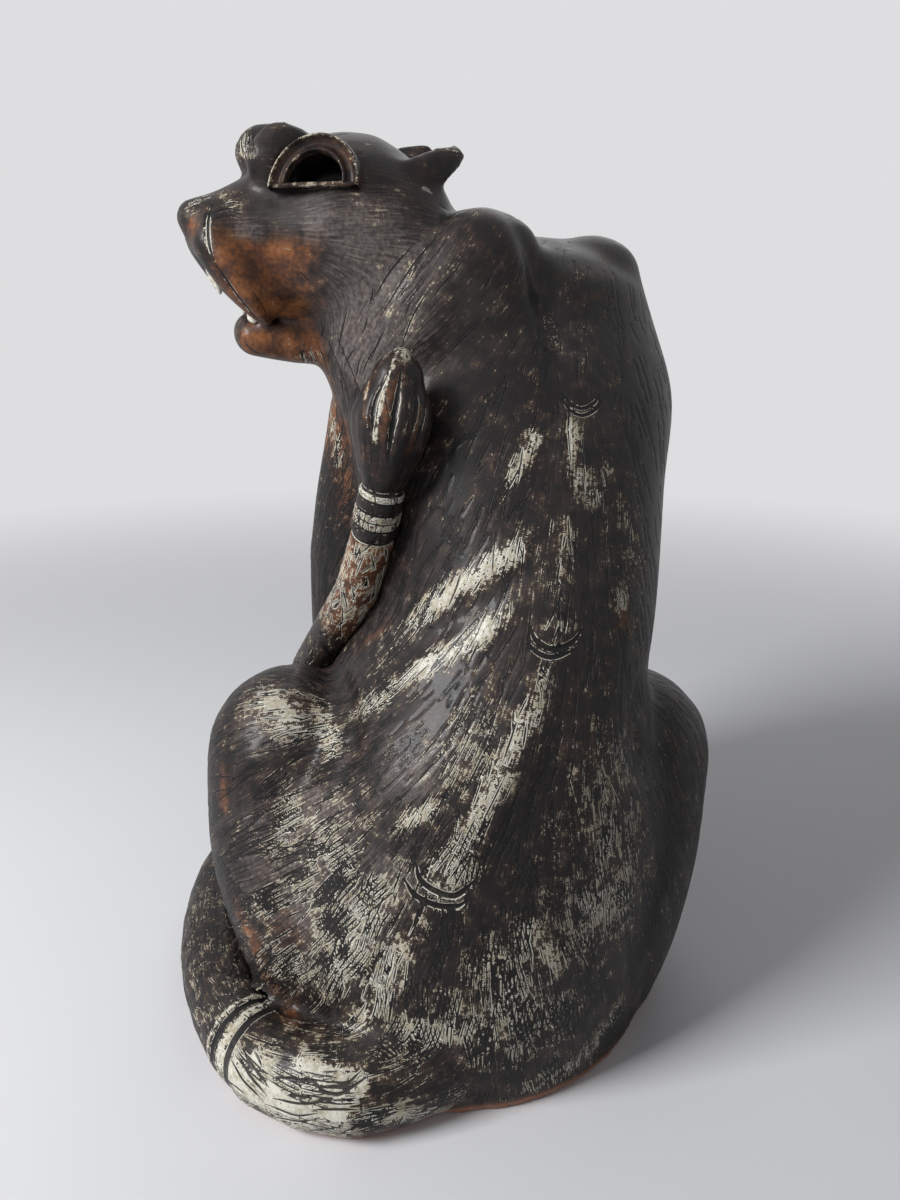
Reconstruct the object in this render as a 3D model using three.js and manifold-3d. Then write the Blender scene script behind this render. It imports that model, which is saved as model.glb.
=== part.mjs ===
// Seated big cat ornament in glazed stoneware, hollow and open underneath.
// Millimetres, +Z up. The cat sits with its back to -Y and has its head turned to -X.
import * as THREE from 'three';
import { mergeVertices } from 'three/addons/utils/BufferGeometryUtils.js';
import Module from 'manifold-3d';

// Clay thickness of the hollow body, and the seam left between two luted pieces
const WALL = 9;
const SEAM = 0.3;

// Sections of the torso: middle in plan, rise above the section below, full size, turn in plan
const TORSO = {
  base: { x: 15, y: -38, rise: 0, width: 242, depth: 254, turn: 0 },
  rump: { x: 15, y: -42, rise: 60, width: 256, depth: 256, turn: 0 },
  hip: { x: 22, y: -40, rise: 80, width: 244, depth: 244, turn: 0 },
  loin: { x: 31, y: -30, rise: 60, width: 194, depth: 234, turn: 10 },
  waist: { x: 45, y: -13, rise: 56, width: 168, depth: 212, turn: 20 },
  ribs: { x: 45, y: 8, rise: 64, width: 184, depth: 200, turn: 30 },
  chest: { x: 47, y: 30, rise: 49, width: 206, depth: 196, turn: 40 },
  withers: { x: 52, y: 42, rise: 46, width: 176, depth: 156, turn: 40 },
};
const TORSO_DOME = 46;

// Neck, from inside the chest to the back of the skull, where it ends short of the head's middle
const NECK = { rootRadius: 88, endRadius: 53, rootAcross: -23, rootRise: 1, endShort: 16 };

// Head: middle of the skull from the middle of the chest, its turn and its tilt to the left
const HEAD = { across: -93, forward: -20, rise: 86, yaw: 200, roll: 10 };

// Sections of the skull in the head's own frame: place along it, top, bottom, full width
const SKULL = {
  nape: { x: -38, top: 40, bottom: -56, width: 106 },
  crown: { x: -10, top: 56, bottom: -62, width: 120 },
  cheeks: { x: 24, top: 53, bottom: -48, width: 106 },
  bridge: { x: 50, top: 38, bottom: -36, width: 74 },
  muzzle: { x: 74, top: 24, bottom: -17, width: 56 },
  nose: { x: 86, top: 20, bottom: -12, width: 44 },
};
const NAPE_DOME = 18;
const NOSE_DOME = 8;

// Sections of the lower jaw in the same frame, and of the tongue, which is sunk into the jaw
const JAW = {
  hinge: { x: -4, top: -38, bottom: -68, width: 72 },
  cheek: { x: 30, top: -41, bottom: -69, width: 54 },
  chin: { x: 60, top: -40, bottom: -64, width: 36 },
};
const CHIN_DOME = 10;
const TONGUE = {
  root: { x: 26, thick: 14, width: 26 },
  middle: { x: 42, thick: 11, width: 26 },
  tip: { x: 54, thick: 8, width: 18 },
};
const TONGUE_SUNK = 5.4;
const TONGUE_DOME = 5;

// Features of the face: place along the head, then in from the side of the skull, down from its top
// or up from its underside
const BROW = { x: 42, y: 20, length: 23, half: 17, thick: 17 };
const NOSE_PAD = { ahead: 3, down: 11, length: 9, half: 14, thick: 10 };
const WHISKER_PAD = {
  front: { x: 79, inset: 10.5, up: 13, radius: 13 },
  middle: { x: 68, inset: 9.3, up: 5.8, radius: 14 },
  back: { x: 55, inset: 8.1, up: -1, radius: 11 },
};
const WHISKER_PAD_SWELL = 1.25;
const EYE = { x: 28, inset: 8.7, down: 22, width: 52, height: 30, yaw: 26, tilt: 14, turn: 5 };
const LID = { width: 10, lower: 2.5, stands: 5 };
const SOCKET_DEPTH = 26;
const EAR = { x: -22, inset: 22, down: 15, thick: 10, dome: 4 };
const EAR_BACK = { root: 0, middle: 16, tip: 29 };
const EAR_INWARD = { root: 0, middle: 5, tip: 10 };
const EAR_UP = { root: 0, middle: 8, tip: 14 };
const EAR_WIDTH = { root: 22, middle: 18.7, tip: 10 };
const FANG = { radius: 4.2, middleRadius: 3.4, tipRadius: 1.2 };
const UPPER_FANG = { x: 80, y: 9, sunk: 6.5, length: 20, lean: -2 };
const LOWER_FANG = { x: 59, y: 10, sunk: 6, length: 16, lean: 1 };

// Shoulder blades: across and forward of the middle of the chest, with heights from it
const BLADE = { across: 43, forward: -24, width: 82, depth: 70, dome: 24 };
const BLADE_HEIGHT = { foot: -51, middle: 26, crest: 75 };
const BLADE_LEAN = { foot: 0.4, middle: 1, crest: 1 };
const BLADE_SIZE = { foot: 0.7, middle: 1, crest: 0.84 };
const BLADE_DROP = { left: 0, right: 7 };

// Forelegs: across the chest, drop of the elbow and the top below its middle, lean forward of it
const FORELEG = { across: 55, topDrop: 23, elbowDrop: 107, wrist: 60, dome: 46 };
const FORELEG_WIDTH = { top: 76, elbow: 84, knee: 67, wrist: 58 };
const FORELEG_LEAN = { top: 56, elbow: 76, knee: 92, wrist: 98 };

// Paws: the forepaws start behind the wrist, the hind ones under the thighs
const FOREPAW = { behind: 14, length: 48, width: 62, height: 44 };
const HIND_PAW = { length: 78, width: 56, height: 40 };
const HIND_HEEL = { left: { out: 22, forward: -4 }, right: { out: 12, forward: 36 } };
const PAW_RUN = [{ along: 0, size: 0.86 }, { along: 0.5, size: 1 }, { along: 1, size: 0.94 }];
const HIND_PAW_TURN = 90;
const PAW_SUNK = 0.2;
const PAW_ROUND = 0.3;
const TOE = { count: 4, half: 14, length: 22, height: 17, ahead: 24, rise: 12.5, edge: 10.5 };

// Outer thighs: in from the side of the rump, forward of its middle, and how far the knee leans out
const THIGH = {
  left: { inset: 41, forward: -4, kneeOut: 19, width: 112, crestWidth: 103, depth: 172, height: 211 },
  right: { inset: 39, forward: 16, kneeOut: 2, width: 128, crestWidth: 136, depth: 190, height: 207 },
};
const THIGH_RUN = [
  { up: 0, wide: 0.64, deep: 0.8 },
  { up: 0.25, wide: 0.84, deep: 1 },
  { up: 0.5, wide: 1, deep: 0.94 },
];
const THIGH_CREST = { up: 0.75, deep: 0.66 };

// Tail: radii, then its way on the floor by bearing from the middle of the rump and reach past its side
const TAIL = { rootRadius: 30, radius: 23, riseRadius: 22, neckRadius: 11.5, seat: 0.84, taperPoints: 3 };
const TAIL_FLOOR = [
  { bearing: -98, reach: -23, lift: 0 },
  { bearing: -115, reach: 7, lift: 0 },
  { bearing: -134, reach: 20, lift: 0 },
  { bearing: -154, reach: 22, lift: 0 },
  { bearing: -175, reach: 29, lift: 0 },
  { bearing: -194, reach: 43, lift: 0 },
  { bearing: -207, reach: 53, lift: 6 },
];
// Way of its rising end past the left knee, in shares of that thigh's width, depth and height
const TAIL_RISE = [
  { across: -0.28, forward: 0.63, up: 0.2 },
  { across: -0.12, forward: 0.62, up: 0.41 },
  { across: -0.02, forward: 0.52, up: 0.64 },
  { across: 0.1, forward: 0.35, up: 0.9 },
  { across: 0.42, forward: 0.023, up: 1.232 },
  { across: 0.585, forward: -0.157, up: 1.55 },
];
const TUFT = { radius: 22, length: 65, leanAcross: 10.5, leanForward: -3, dome: 13.5 };
const TUFT_LOBES = { lobes: 7, lobeDepth: 0.1 };
const TUFT_RUN = [{ along: 0.3, size: 0.86 }, { along: 0.6, size: 1 }, { along: 0.9, size: 0.6 }];

// Glazes
const DARK_SLIP = { color: 0x3b3633, roughness: 0.42, metalness: 0 };
const AMBER_GLAZE = { color: 0x8a5022, roughness: 0.32, metalness: 0 };
const CREAM_SLIP = { color: 0xd9d2b8, roughness: 0.5, metalness: 0 };

const wasm = await Module();
wasm.setup();

const radians = THREE.MathUtils.degToRad;
const { lerp } = THREE.MathUtils;
const vec = (x, y, z) => new THREE.Vector3(x, y, z);

// A closed geometry as a solid that can be cut and joined
function solidOf(geometry) {
  geometry.deleteAttribute('normal');
  geometry.deleteAttribute('uv');
  const merged = mergeVertices(geometry, 1e-4);
  return new wasm.Manifold(new wasm.Mesh({
    numProp: 3,
    vertProperties: new Float32Array(merged.attributes.position.array),
    triVerts: new Uint32Array(merged.index.array),
  }));
}

// The largest body of a solid, as a geometry
function geometryOf(solid) {
  const bodies = solid.decompose();
  bodies.sort((a, b) => b.volume() - a.volume());
  const mesh = bodies[0].getMesh();
  const geometry = new THREE.BufferGeometry();
  geometry.setAttribute('position', new THREE.BufferAttribute(mesh.vertProperties, 3));
  geometry.setIndex(new THREE.BufferAttribute(mesh.triVerts, 1));
  geometry.computeVertexNormals();
  return geometry;
}

// Evenly spaced samples of a smooth curve through the given triples
function smoothRun(triples, count) {
  const curve = new THREE.CatmullRomCurve3(triples.map((t) => vec(...t)), false, 'catmullrom', 0.5);
  return curve.getPoints(count);
}

// Loft through stations { centre, wide, deep, u, v }: half sizes along the unit axes u and v,
// where u x v points along the loft. An end is domed by a length, or flat where the length is 0.
function loft(stations, { sides = 24, steps = 4, start = 0, end = 0, lobes = 0, lobeDepth = 0 }, grow = 0) {
  const count = (stations.length - 1) * steps;
  const centres = smoothRun(stations.map((s) => s.centre.toArray()), count);
  const sizes = smoothRun(stations.map((s) => [s.wide, s.deep, 0]), count);
  const us = smoothRun(stations.map((s) => s.u.toArray()), count).map((u) => u.normalize());
  const vs = smoothRun(stations.map((s) => s.v.toArray()), count).map((v) => v.normalize());
  const points = [];
  const axisPoint = (index, shift) => {
    const axis = us[index].clone().cross(vs[index]).normalize();
    return centres[index].clone().addScaledVector(axis, shift);
  };
  const addRing = (index, shift, scale) => {
    const middle = axisPoint(index, shift);
    for (let side = 0; side < sides; side += 1) {
      const angle = (2 * Math.PI * side) / sides;
      const lobe = scale * (1 - lobeDepth * Math.abs(Math.cos((lobes * angle) / 2)));
      const point = middle.clone();
      point.addScaledVector(us[index], (sizes[index].x + grow) * lobe * Math.cos(angle));
      point.addScaledVector(vs[index], (sizes[index].y + grow) * lobe * Math.sin(angle));
      points.push(point);
    }
  };
  const domeSteps = [0.75, 0.5, 0.25];
  const domeRing = (index, length, share) => {
    const angle = (share * Math.PI) / 2;
    addRing(index, length * Math.sin(angle), Math.cos(angle));
  };
  points.push(axisPoint(0, -(start + grow)));
  if (start > 0) domeSteps.forEach((share) => domeRing(0, -(start + grow), share));
  addRing(0, start > 0 ? 0 : -grow, 1);
  for (let index = 1; index < count; index += 1) addRing(index, 0, 1);
  addRing(count, end > 0 ? 0 : grow, 1);
  if (end > 0) domeSteps.toReversed().forEach((share) => domeRing(count, end + grow, share));
  points.push(axisPoint(count, end + grow));

  const rows = (points.length - 2) / sides;
  const corner = (row, side) => 1 + row * sides + (side % sides);
  const faces = [];
  for (let side = 0; side < sides; side += 1) {
    faces.push(0, corner(0, side + 1), corner(0, side));
    for (let row = 0; row + 1 < rows; row += 1) {
      faces.push(corner(row, side), corner(row, side + 1), corner(row + 1, side + 1));
      faces.push(corner(row, side), corner(row + 1, side + 1), corner(row + 1, side));
    }
    faces.push(points.length - 1, corner(rows - 1, side), corner(rows - 1, side + 1));
  }
  const geometry = new THREE.BufferGeometry();
  const coordinates = points.flatMap((point) => point.toArray());
  geometry.setAttribute('position', new THREE.Float32BufferAttribute(coordinates, 3));
  geometry.setIndex(faces);
  return solidOf(geometry);
}

// Station of an upright loft: a level section whose width is turned in plan
function level(centre, width, depth, turn = 0) {
  const angle = radians(turn);
  const u = vec(Math.cos(angle), Math.sin(angle), 0);
  const v = vec(-Math.sin(angle), Math.cos(angle), 0);
  return { centre, wide: width / 2, deep: depth / 2, u, v };
}

// Stations of a round loft that follows points, with a radius at each
function follow(points, radii) {
  const curve = new THREE.CatmullRomCurve3(points, false, 'catmullrom', 0.5);
  const last = points.length - 1;
  const v = vec(0, 0, 0);
  return points.map((centre, index) => {
    const tangent = curve.getTangent(index / last);
    if (index === 0) v.copy(Math.abs(tangent.z) < 0.9 ? vec(0, 0, 1) : vec(0, 1, 0));
    v.addScaledVector(tangent, -v.dot(tangent)).normalize();
    return { centre, wide: radii[index], deep: radii[index], u: v.clone().cross(tangent), v: v.clone() };
  });
}

// Station that stands across a level path which heads in the direction turn
function across(centre, width, height, turn) {
  const angle = radians(turn);
  const u = vec(-Math.sin(angle), Math.cos(angle), 0);
  return { centre, wide: width / 2, deep: height / 2, u, v: vec(0, 0, 1) };
}

// An ellipsoid in a frame, with half sizes
function ellipsoid(frame, centre, half, grow, roundSides = 14) {
  const geometry = new THREE.SphereGeometry(1, roundSides, 6);
  geometry.scale(half.x + grow, half.y + grow, half.z + grow);
  geometry.translate(centre.x, centre.y, centre.z);
  geometry.applyMatrix4(frame);
  return solidOf(geometry);
}

// All that lies under the floor
function underFloor() {
  const span = 4 * (TORSO.rump.width + TORSO.rump.depth);
  const geometry = new THREE.BoxGeometry(span, span, span);
  geometry.translate(0, 0, -span / 2);
  return solidOf(geometry);
}

// Torso bell with its neck
let sectionHeight = 0;
const torsoStations = Object.values(TORSO).map((section) => {
  sectionHeight += section.rise;
  return level(vec(section.x, section.y, sectionHeight), section.width, section.depth, section.turn);
});
const chest = torsoStations[Object.keys(TORSO).indexOf('chest')].centre;
const headMiddle = chest.clone().add(vec(HEAD.across, HEAD.forward, HEAD.rise));
const neckRoot = chest.clone().add(vec(NECK.rootAcross, 0, NECK.rootRise));
const neckLength = headMiddle.distanceTo(neckRoot) - NECK.endShort;
const neckAxis = headMiddle.clone().sub(neckRoot).normalize();
const neckStations = [0, 0.5, 1].map((share) => {
  const radius = lerp(NECK.rootRadius, NECK.endRadius, share);
  const u = vec(0, 1, 0).cross(neckAxis).normalize();
  const centre = neckRoot.clone().addScaledVector(neckAxis, share * neckLength);
  return { centre, wide: radius, deep: radius, u, v: neckAxis.clone().cross(u) };
});
const neckDome = NECK.rootRadius / 2;

function torso(grow) {
  const bell = loft(torsoStations, { sides: 32, steps: 3, end: TORSO_DOME }, grow);
  return bell.add(loft(neckStations, { sides: 24, steps: 2, start: neckDome }, grow));
}
// The hollow runs out through the open base and through the end of the neck
const HOLLOW_RUN_OUT = 36;
function torsoHollow() {
  const base = torsoStations[0];
  const below = { ...base, centre: base.centre.clone().setZ(-HOLLOW_RUN_OUT) };
  const bell = loft([below, ...torsoStations], { sides: 20, steps: 2, end: TORSO_DOME }, -WALL);
  const neck = loft(neckStations, { sides: 20, steps: 2, start: neckDome, end: HOLLOW_RUN_OUT }, -WALL);
  return bell.add(neck);
}

// Head frame: x forward, y to the left of the cat, z up
const headFrame = new THREE.Matrix4()
  .makeTranslation(headMiddle)
  .multiply(new THREE.Matrix4().makeRotationZ(radians(HEAD.yaw)))
  .multiply(new THREE.Matrix4().makeRotationX(radians(-HEAD.roll)));
const inHead = (x, y, z) => vec(x, y, z).applyMatrix4(headFrame);

function headStations(sections) {
  return sections.map(({ x, top, bottom, width }) => ({
    centre: inHead(x, 0, (top + bottom) / 2),
    wide: width / 2,
    deep: (top - bottom) / 2,
    u: vec(0, 1, 0).transformDirection(headFrame),
    v: vec(0, 0, 1).transformDirection(headFrame),
  }));
}
// A size of the skull or the jaw at a place along the head, straight between its sections
function sizeAt(sections, key, x) {
  const list = Object.values(sections);
  const after = Math.max(1, list.findIndex((section) => section.x >= x));
  const [low, high] = [list[after - 1], list[after]];
  return lerp(low[key], high[key], (x - low.x) / (high.x - low.x));
}
const skullHalf = (x) => sizeAt(SKULL, 'width', x) / 2;

const skull = (grow) => {
  const stations = headStations(Object.values(SKULL));
  return loft(stations, { sides: 26, steps: 2, start: NAPE_DOME, end: NOSE_DOME }, grow);
};
const jaw = (grow) => {
  const stations = headStations(Object.values(JAW));
  return loft(stations, { sides: 16, steps: 2, start: CHIN_DOME, end: CHIN_DOME }, grow);
};
const tongue = (grow) => {
  const sections = Object.values(TONGUE).map(({ x, thick, width }) => {
    const bottom = sizeAt(JAW, 'top', x) - TONGUE_SUNK;
    return { x, top: bottom + thick, bottom, width };
  });
  return loft(headStations(sections), { sides: 14, steps: 2, start: TONGUE_DOME, end: TONGUE_DOME }, grow);
};
const brow = (side) => (grow) => {
  const centre = vec(BROW.x, side * BROW.y, sizeAt(SKULL, 'top', BROW.x));
  return ellipsoid(headFrame, centre, vec(BROW.length, BROW.half, BROW.thick), grow);
};
const nosePad = (grow) => {
  const centre = vec(SKULL.nose.x + NOSE_PAD.ahead, 0, SKULL.nose.top - NOSE_PAD.down);
  return ellipsoid(headFrame, centre, vec(NOSE_PAD.length, NOSE_PAD.half, NOSE_PAD.thick), grow);
};
const whiskerPad = (side) => (grow) => {
  const run = Object.values(WHISKER_PAD);
  const points = run.map(({ x, inset, up }) => (
    inHead(x, side * (skullHalf(x) - inset), sizeAt(SKULL, 'bottom', x) + up)
  ));
  const round = follow(points, run.map(({ radius }) => radius));
  const stations = round.map((station) => ({ ...station, wide: WHISKER_PAD_SWELL * station.wide }));
  const { front, back } = WHISKER_PAD;
  return loft(stations, { sides: 12, steps: 2, start: front.radius, end: back.radius }, grow);
};
const fang = (foot, length, lean) => (grow) => {
  const tip = foot.clone().add(vec(lean, 0, length));
  const middle = foot.clone().lerp(tip, 0.5).add(vec(FANG.tipRadius, 0, 0));
  const points = [foot, middle, tip].map((point) => point.clone().applyMatrix4(headFrame));
  const stations = follow(points, [FANG.radius, FANG.middleRadius, FANG.tipRadius]);
  return loft(stations, { sides: 10, steps: 2, start: FANG.tipRadius, end: FANG.tipRadius }, grow);
};
const upperFang = (side) => {
  const { x, y, sunk, length, lean } = UPPER_FANG;
  return fang(vec(x, side * y, sizeAt(SKULL, 'bottom', x) + sunk), -length, lean);
};
const lowerFang = (side) => {
  const { x, y, sunk, length, lean } = LOWER_FANG;
  return fang(vec(x, side * y, sizeAt(JAW, 'top', x) - sunk), length, lean);
};
const ear = (side) => (grow) => {
  const half = skullHalf(EAR.x) - EAR.inset;
  const root = sizeAt(SKULL, 'top', EAR.x) - EAR.down;
  const points = Object.keys(EAR_BACK).map((part) => (
    inHead(EAR.x - EAR_BACK[part], side * (half - EAR_INWARD[part]), root + EAR_UP[part])
  ));
  const round = follow(points, Object.values(EAR_WIDTH).map((width) => width / 2));
  const stations = round.map((station) => ({ ...station, wide: EAR.thick / 2 }));
  return loft(stations, { sides: 12, steps: 2, start: EAR.dome, end: EAR.dome }, grow);
};

// Eye frame on one side of the head: x along the lid, y up, z out of the face
function eyeFrame(side) {
  const yaw = radians(EYE.yaw);
  const tilt = radians(EYE.tilt);
  const out = vec(Math.sin(yaw) * Math.cos(tilt), side * Math.cos(yaw) * Math.cos(tilt), Math.sin(tilt));
  const level = vec(0, 0, 1).cross(out).normalize();
  const lid = level.applyAxisAngle(out, side * radians(EYE.turn));
  const frame = new THREE.Matrix4().makeBasis(lid, out.clone().cross(lid), out);
  const height = sizeAt(SKULL, 'top', EYE.x) - EYE.down;
  frame.setPosition(EYE.x, side * (skullHalf(EYE.x) - EYE.inset), height);
  return headFrame.clone().multiply(frame);
}
// Points of a half-round outline that stands on a level foot
const ARCH_STEPS = 12;
function arch(width, height, foot) {
  return [...Array(ARCH_STEPS + 1).keys()].map((step) => {
    const angle = (Math.PI * step) / ARCH_STEPS;
    return new THREE.Vector2(0.5 * width * Math.cos(angle), foot + height * Math.sin(angle));
  });
}
function eyeExtrusion(side, outline, holes) {
  const shape = new THREE.Shape(outline);
  shape.holes.push(...holes);
  const depth = SOCKET_DEPTH + LID.stands;
  const geometry = new THREE.ExtrudeGeometry(shape, { depth, bevelEnabled: false });
  geometry.translate(0, 0, -SOCKET_DEPTH);
  geometry.applyMatrix4(eyeFrame(side));
  return solidOf(geometry);
}
const openingWidth = EYE.width - 2 * LID.width;
const openingHeight = EYE.height - LID.width - LID.lower;
const eyelid = (side) => (grow) => {
  const opening = new THREE.Path(arch(openingWidth - 2 * grow, openingHeight - grow, LID.lower));
  return eyeExtrusion(side, arch(EYE.width + 2 * grow, EYE.height + grow, -grow), [opening]);
};
const eyeSocket = (side) => () => eyeExtrusion(side, arch(openingWidth, openingHeight, LID.lower), []);

// A point across and forward of the middle of the chest, along the shoulders
function girdlePoint(sideways, forward, z) {
  const angle = radians(TORSO.chest.turn);
  const x = chest.x + sideways * Math.cos(angle) - forward * Math.sin(angle);
  const y = chest.y + sideways * Math.sin(angle) + forward * Math.cos(angle);
  return vec(x, y, z);
}
const shoulderBlade = (side, drop) => (grow) => {
  const stations = Object.keys(BLADE_HEIGHT).map((part) => {
    const height = chest.z + BLADE_HEIGHT[part] - drop;
    const centre = girdlePoint(side * BLADE.across, BLADE_LEAN[part] * BLADE.forward, height);
    return level(centre, BLADE_SIZE[part] * BLADE.width, BLADE_SIZE[part] * BLADE.depth, TORSO.chest.turn);
  });
  return loft(stations, { sides: 20, steps: 3, start: BLADE.dome, end: BLADE.dome }, grow);
};

const foreleg = (side) => (grow) => {
  const elbow = chest.z - FORELEG.elbowDrop;
  const run = [
    [FOREPAW.height / 2, FORELEG_LEAN.wrist, FORELEG_WIDTH.wrist],
    [FORELEG.wrist, FORELEG_LEAN.wrist, FORELEG_WIDTH.wrist],
    [(elbow + FORELEG.wrist) / 2, FORELEG_LEAN.knee, FORELEG_WIDTH.knee],
    [elbow, FORELEG_LEAN.elbow, FORELEG_WIDTH.elbow],
    [chest.z - FORELEG.topDrop, FORELEG_LEAN.top, FORELEG_WIDTH.top],
  ];
  const stations = run.map(([height, lean, width]) => (
    level(girdlePoint(side * FORELEG.across, lean, height), width, width, TORSO.chest.turn)
  ));
  return loft(stations, { sides: 16, steps: 2, end: FORELEG.dome }, grow);
};

// A paw along a level path, sunk a little into the floor, with toes side by side at its front
function paw(place, turn, width, height, grow) {
  const middle = ((1 - PAW_SUNK) / 2) * height;
  const sections = PAW_RUN.map(({ along, size }) => {
    const centre = place(0, along).setZ(middle);
    return across(centre, size * width, size * (1 + PAW_SUNK) * height, turn);
  });
  const round = PAW_ROUND * width;
  let solid = loft(sections, { sides: 14, steps: 2, start: round, end: round }, grow);
  for (let toe = 0; toe < TOE.count; toe += 1) {
    const sideways = (toe / (TOE.count - 1) - 0.5) * (width - 2 * TOE.edge);
    const frame = new THREE.Matrix4().makeRotationZ(radians(turn));
    frame.setPosition(place(sideways, 1).setZ(TOE.rise));
    const half = vec(TOE.length, TOE.half, TOE.height);
    solid = solid.add(ellipsoid(frame, vec(TOE.ahead, 0, 0), half, grow, 8));
  }
  return solid;
}
const forepaw = (side) => (grow) => {
  const heel = FORELEG_LEAN.wrist - FOREPAW.behind;
  const place = (sideways, along) => (
    girdlePoint(side * FORELEG.across - sideways, heel + along * FOREPAW.length, 0)
  );
  return paw(place, TORSO.chest.turn + HIND_PAW_TURN, FOREPAW.width, FOREPAW.height, grow);
};

// Foot of an outer thigh, and of its knee, beside the rump; left is towards -X
const outward = { left: -1, right: 1 };
function thighFoot(name) {
  const { x, y, width } = TORSO.rump;
  return vec(x + outward[name] * (width / 2 - THIGH[name].inset), y + THIGH[name].forward, 0);
}
function kneeFoot(name) {
  return thighFoot(name).add(vec(outward[name] * THIGH[name].kneeOut, 0, 0));
}
const thigh = (name) => (grow) => {
  const { width, crestWidth, depth, height } = THIGH[name];
  const crest = { ...THIGH_CREST, wide: crestWidth / width };
  const stations = [...THIGH_RUN, crest].map(({ up, wide, deep }) => {
    const centre = thighFoot(name).lerp(kneeFoot(name), up).setZ(up * height);
    return level(centre, wide * width, deep * depth);
  });
  return loft(stations, { sides: 22, steps: 3, end: (1 - THIGH_CREST.up) * height }, grow);
};
const hindPaw = (name) => (grow) => {
  const { out, forward } = HIND_HEEL[name];
  const heel = thighFoot(name).add(vec(outward[name] * out, forward, 0));
  const place = (sideways, along) => vec(heel.x - sideways, heel.y + along * HIND_PAW.length, 0);
  return paw(place, HIND_PAW_TURN, HIND_PAW.width, HIND_PAW.height, grow);
};

// Tail on the floor round the rump, its rising end past the left knee, and the tuft
const tailRisePoints = TAIL_RISE.map(({ across: sideways, forward, up }) => {
  const { width, depth, height } = THIGH.left;
  return kneeFoot('left').add(vec(sideways * width, forward * depth, up * height));
});
const tailNeck = tailRisePoints.at(-1);
const tailFloor = (grow) => {
  const radii = TAIL_FLOOR.map((point, index) => (
    lerp(TAIL.rootRadius, TAIL.radius, Math.min(index / TAIL.taperPoints, 1))
  ));
  const points = TAIL_FLOOR.map(({ bearing, reach, lift }, index) => {
    const radius = TORSO.rump.width / 2 + reach;
    const angle = radians(bearing);
    const x = TORSO.rump.x + radius * Math.cos(angle);
    const y = TORSO.rump.y + radius * Math.sin(angle);
    return vec(x, y, TAIL.seat * radii[index] + lift);
  });
  const stations = follow([...points, tailRisePoints[0]], [...radii, TAIL.radius]);
  return loft(stations, { sides: 14, steps: 2, start: TAIL.rootRadius }, grow);
};
const tailRise = (grow) => {
  const last = tailRisePoints.length - 1;
  const radii = tailRisePoints.map((point, index) => lerp(TAIL.riseRadius, TAIL.neckRadius, index / last));
  return loft(follow(tailRisePoints, radii), { sides: 14, steps: 2 }, grow);
};
const tuft = (grow) => {
  const tip = tailNeck.clone().add(vec(TUFT.leanAcross, TUFT.leanForward, TUFT.length));
  const points = TUFT_RUN.map(({ along }) => tailNeck.clone().lerp(tip, along));
  const radii = TUFT_RUN.map(({ size }) => size * TUFT.radius);
  const stations = follow([tailNeck, ...points], [TAIL.neckRadius, ...radii]);
  const sides = 3 * TUFT_LOBES.lobes;
  return loft(stations, { sides, steps: 2, end: TUFT.dome, ...TUFT_LOBES }, grow);
};

// Each piece with the earlier pieces that it is luted to, and what is cut out of it
const shapes = {};
function addPiece(name, shape, glaze, seats, cuts = []) {
  shapes[name] = { shape, glaze, seats, cuts };
}
const sides = { left: 1, right: -1 };
addPiece('torso_shell', torso, DARK_SLIP, [], [torsoHollow]);
addPiece('head_shell', skull, DARK_SLIP, ['torso_shell'], [eyeSocket(1), eyeSocket(-1)]);
for (const [name, side] of Object.entries(sides)) {
  addPiece(`eyelid_${name}`, eyelid(side), CREAM_SLIP, ['head_shell']);
  addPiece(`brow_${name}`, brow(side), DARK_SLIP, ['head_shell', `eyelid_${name}`], [eyeSocket(side)]);
  addPiece(`ear_${name}`, ear(side), DARK_SLIP, ['head_shell', 'torso_shell', `brow_${name}`]);
  addPiece(`whisker_pad_${name}`, whiskerPad(side), AMBER_GLAZE, ['head_shell']);
}
shapes.brow_right.seats.push('brow_left');
shapes.whisker_pad_right.seats.push('whisker_pad_left');
const muzzle = ['head_shell', 'whisker_pad_left', 'whisker_pad_right'];
addPiece('nose_pad', nosePad, AMBER_GLAZE, muzzle);
addPiece('lower_jaw', jaw, AMBER_GLAZE, [...muzzle, 'torso_shell']);
addPiece('tongue', tongue, AMBER_GLAZE, [...muzzle, 'lower_jaw']);
for (const [name, side] of Object.entries(sides)) {
  addPiece(`upper_fang_${name}`, upperFang(side), CREAM_SLIP, [...muzzle, 'lower_jaw']);
  addPiece(`lower_fang_${name}`, lowerFang(side), CREAM_SLIP, [...muzzle, 'lower_jaw', 'tongue']);
}
const body = ['torso_shell', 'head_shell', 'lower_jaw'];
for (const name of Object.keys(sides)) addPiece(`thigh_${name}`, thigh(name), DARK_SLIP, ['torso_shell']);
for (const name of Object.keys(sides)) {
  const leg = `thigh_${name}`;
  const armSeats = [...body, `shoulder_${name}`, leg, `forepaw_${name}`];
  addPiece(`shoulder_${name}`, shoulderBlade(outward[name], BLADE_DROP[name]), DARK_SLIP, body);
  addPiece(`forepaw_${name}`, forepaw(outward[name]), DARK_SLIP, ['torso_shell', leg], [underFloor]);
  addPiece(`foreleg_${name}`, foreleg(outward[name]), DARK_SLIP, armSeats);
}
for (const name of Object.keys(sides)) {
  const limbs = ['foreleg_left', 'foreleg_right', 'forepaw_left', 'forepaw_right', `thigh_${name}`];
  addPiece(`hind_paw_${name}`, hindPaw(name), DARK_SLIP, ['torso_shell', ...limbs], [underFloor]);
}
const leftLimbs = ['torso_shell', 'thigh_left', 'hind_paw_left', 'foreleg_left', 'forepaw_left'];
addPiece('tail_floor', tailFloor, CREAM_SLIP, leftLimbs, [underFloor]);
addPiece('tail_rise', tailRise, AMBER_GLAZE, [...leftLimbs, 'tail_floor']);
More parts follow.
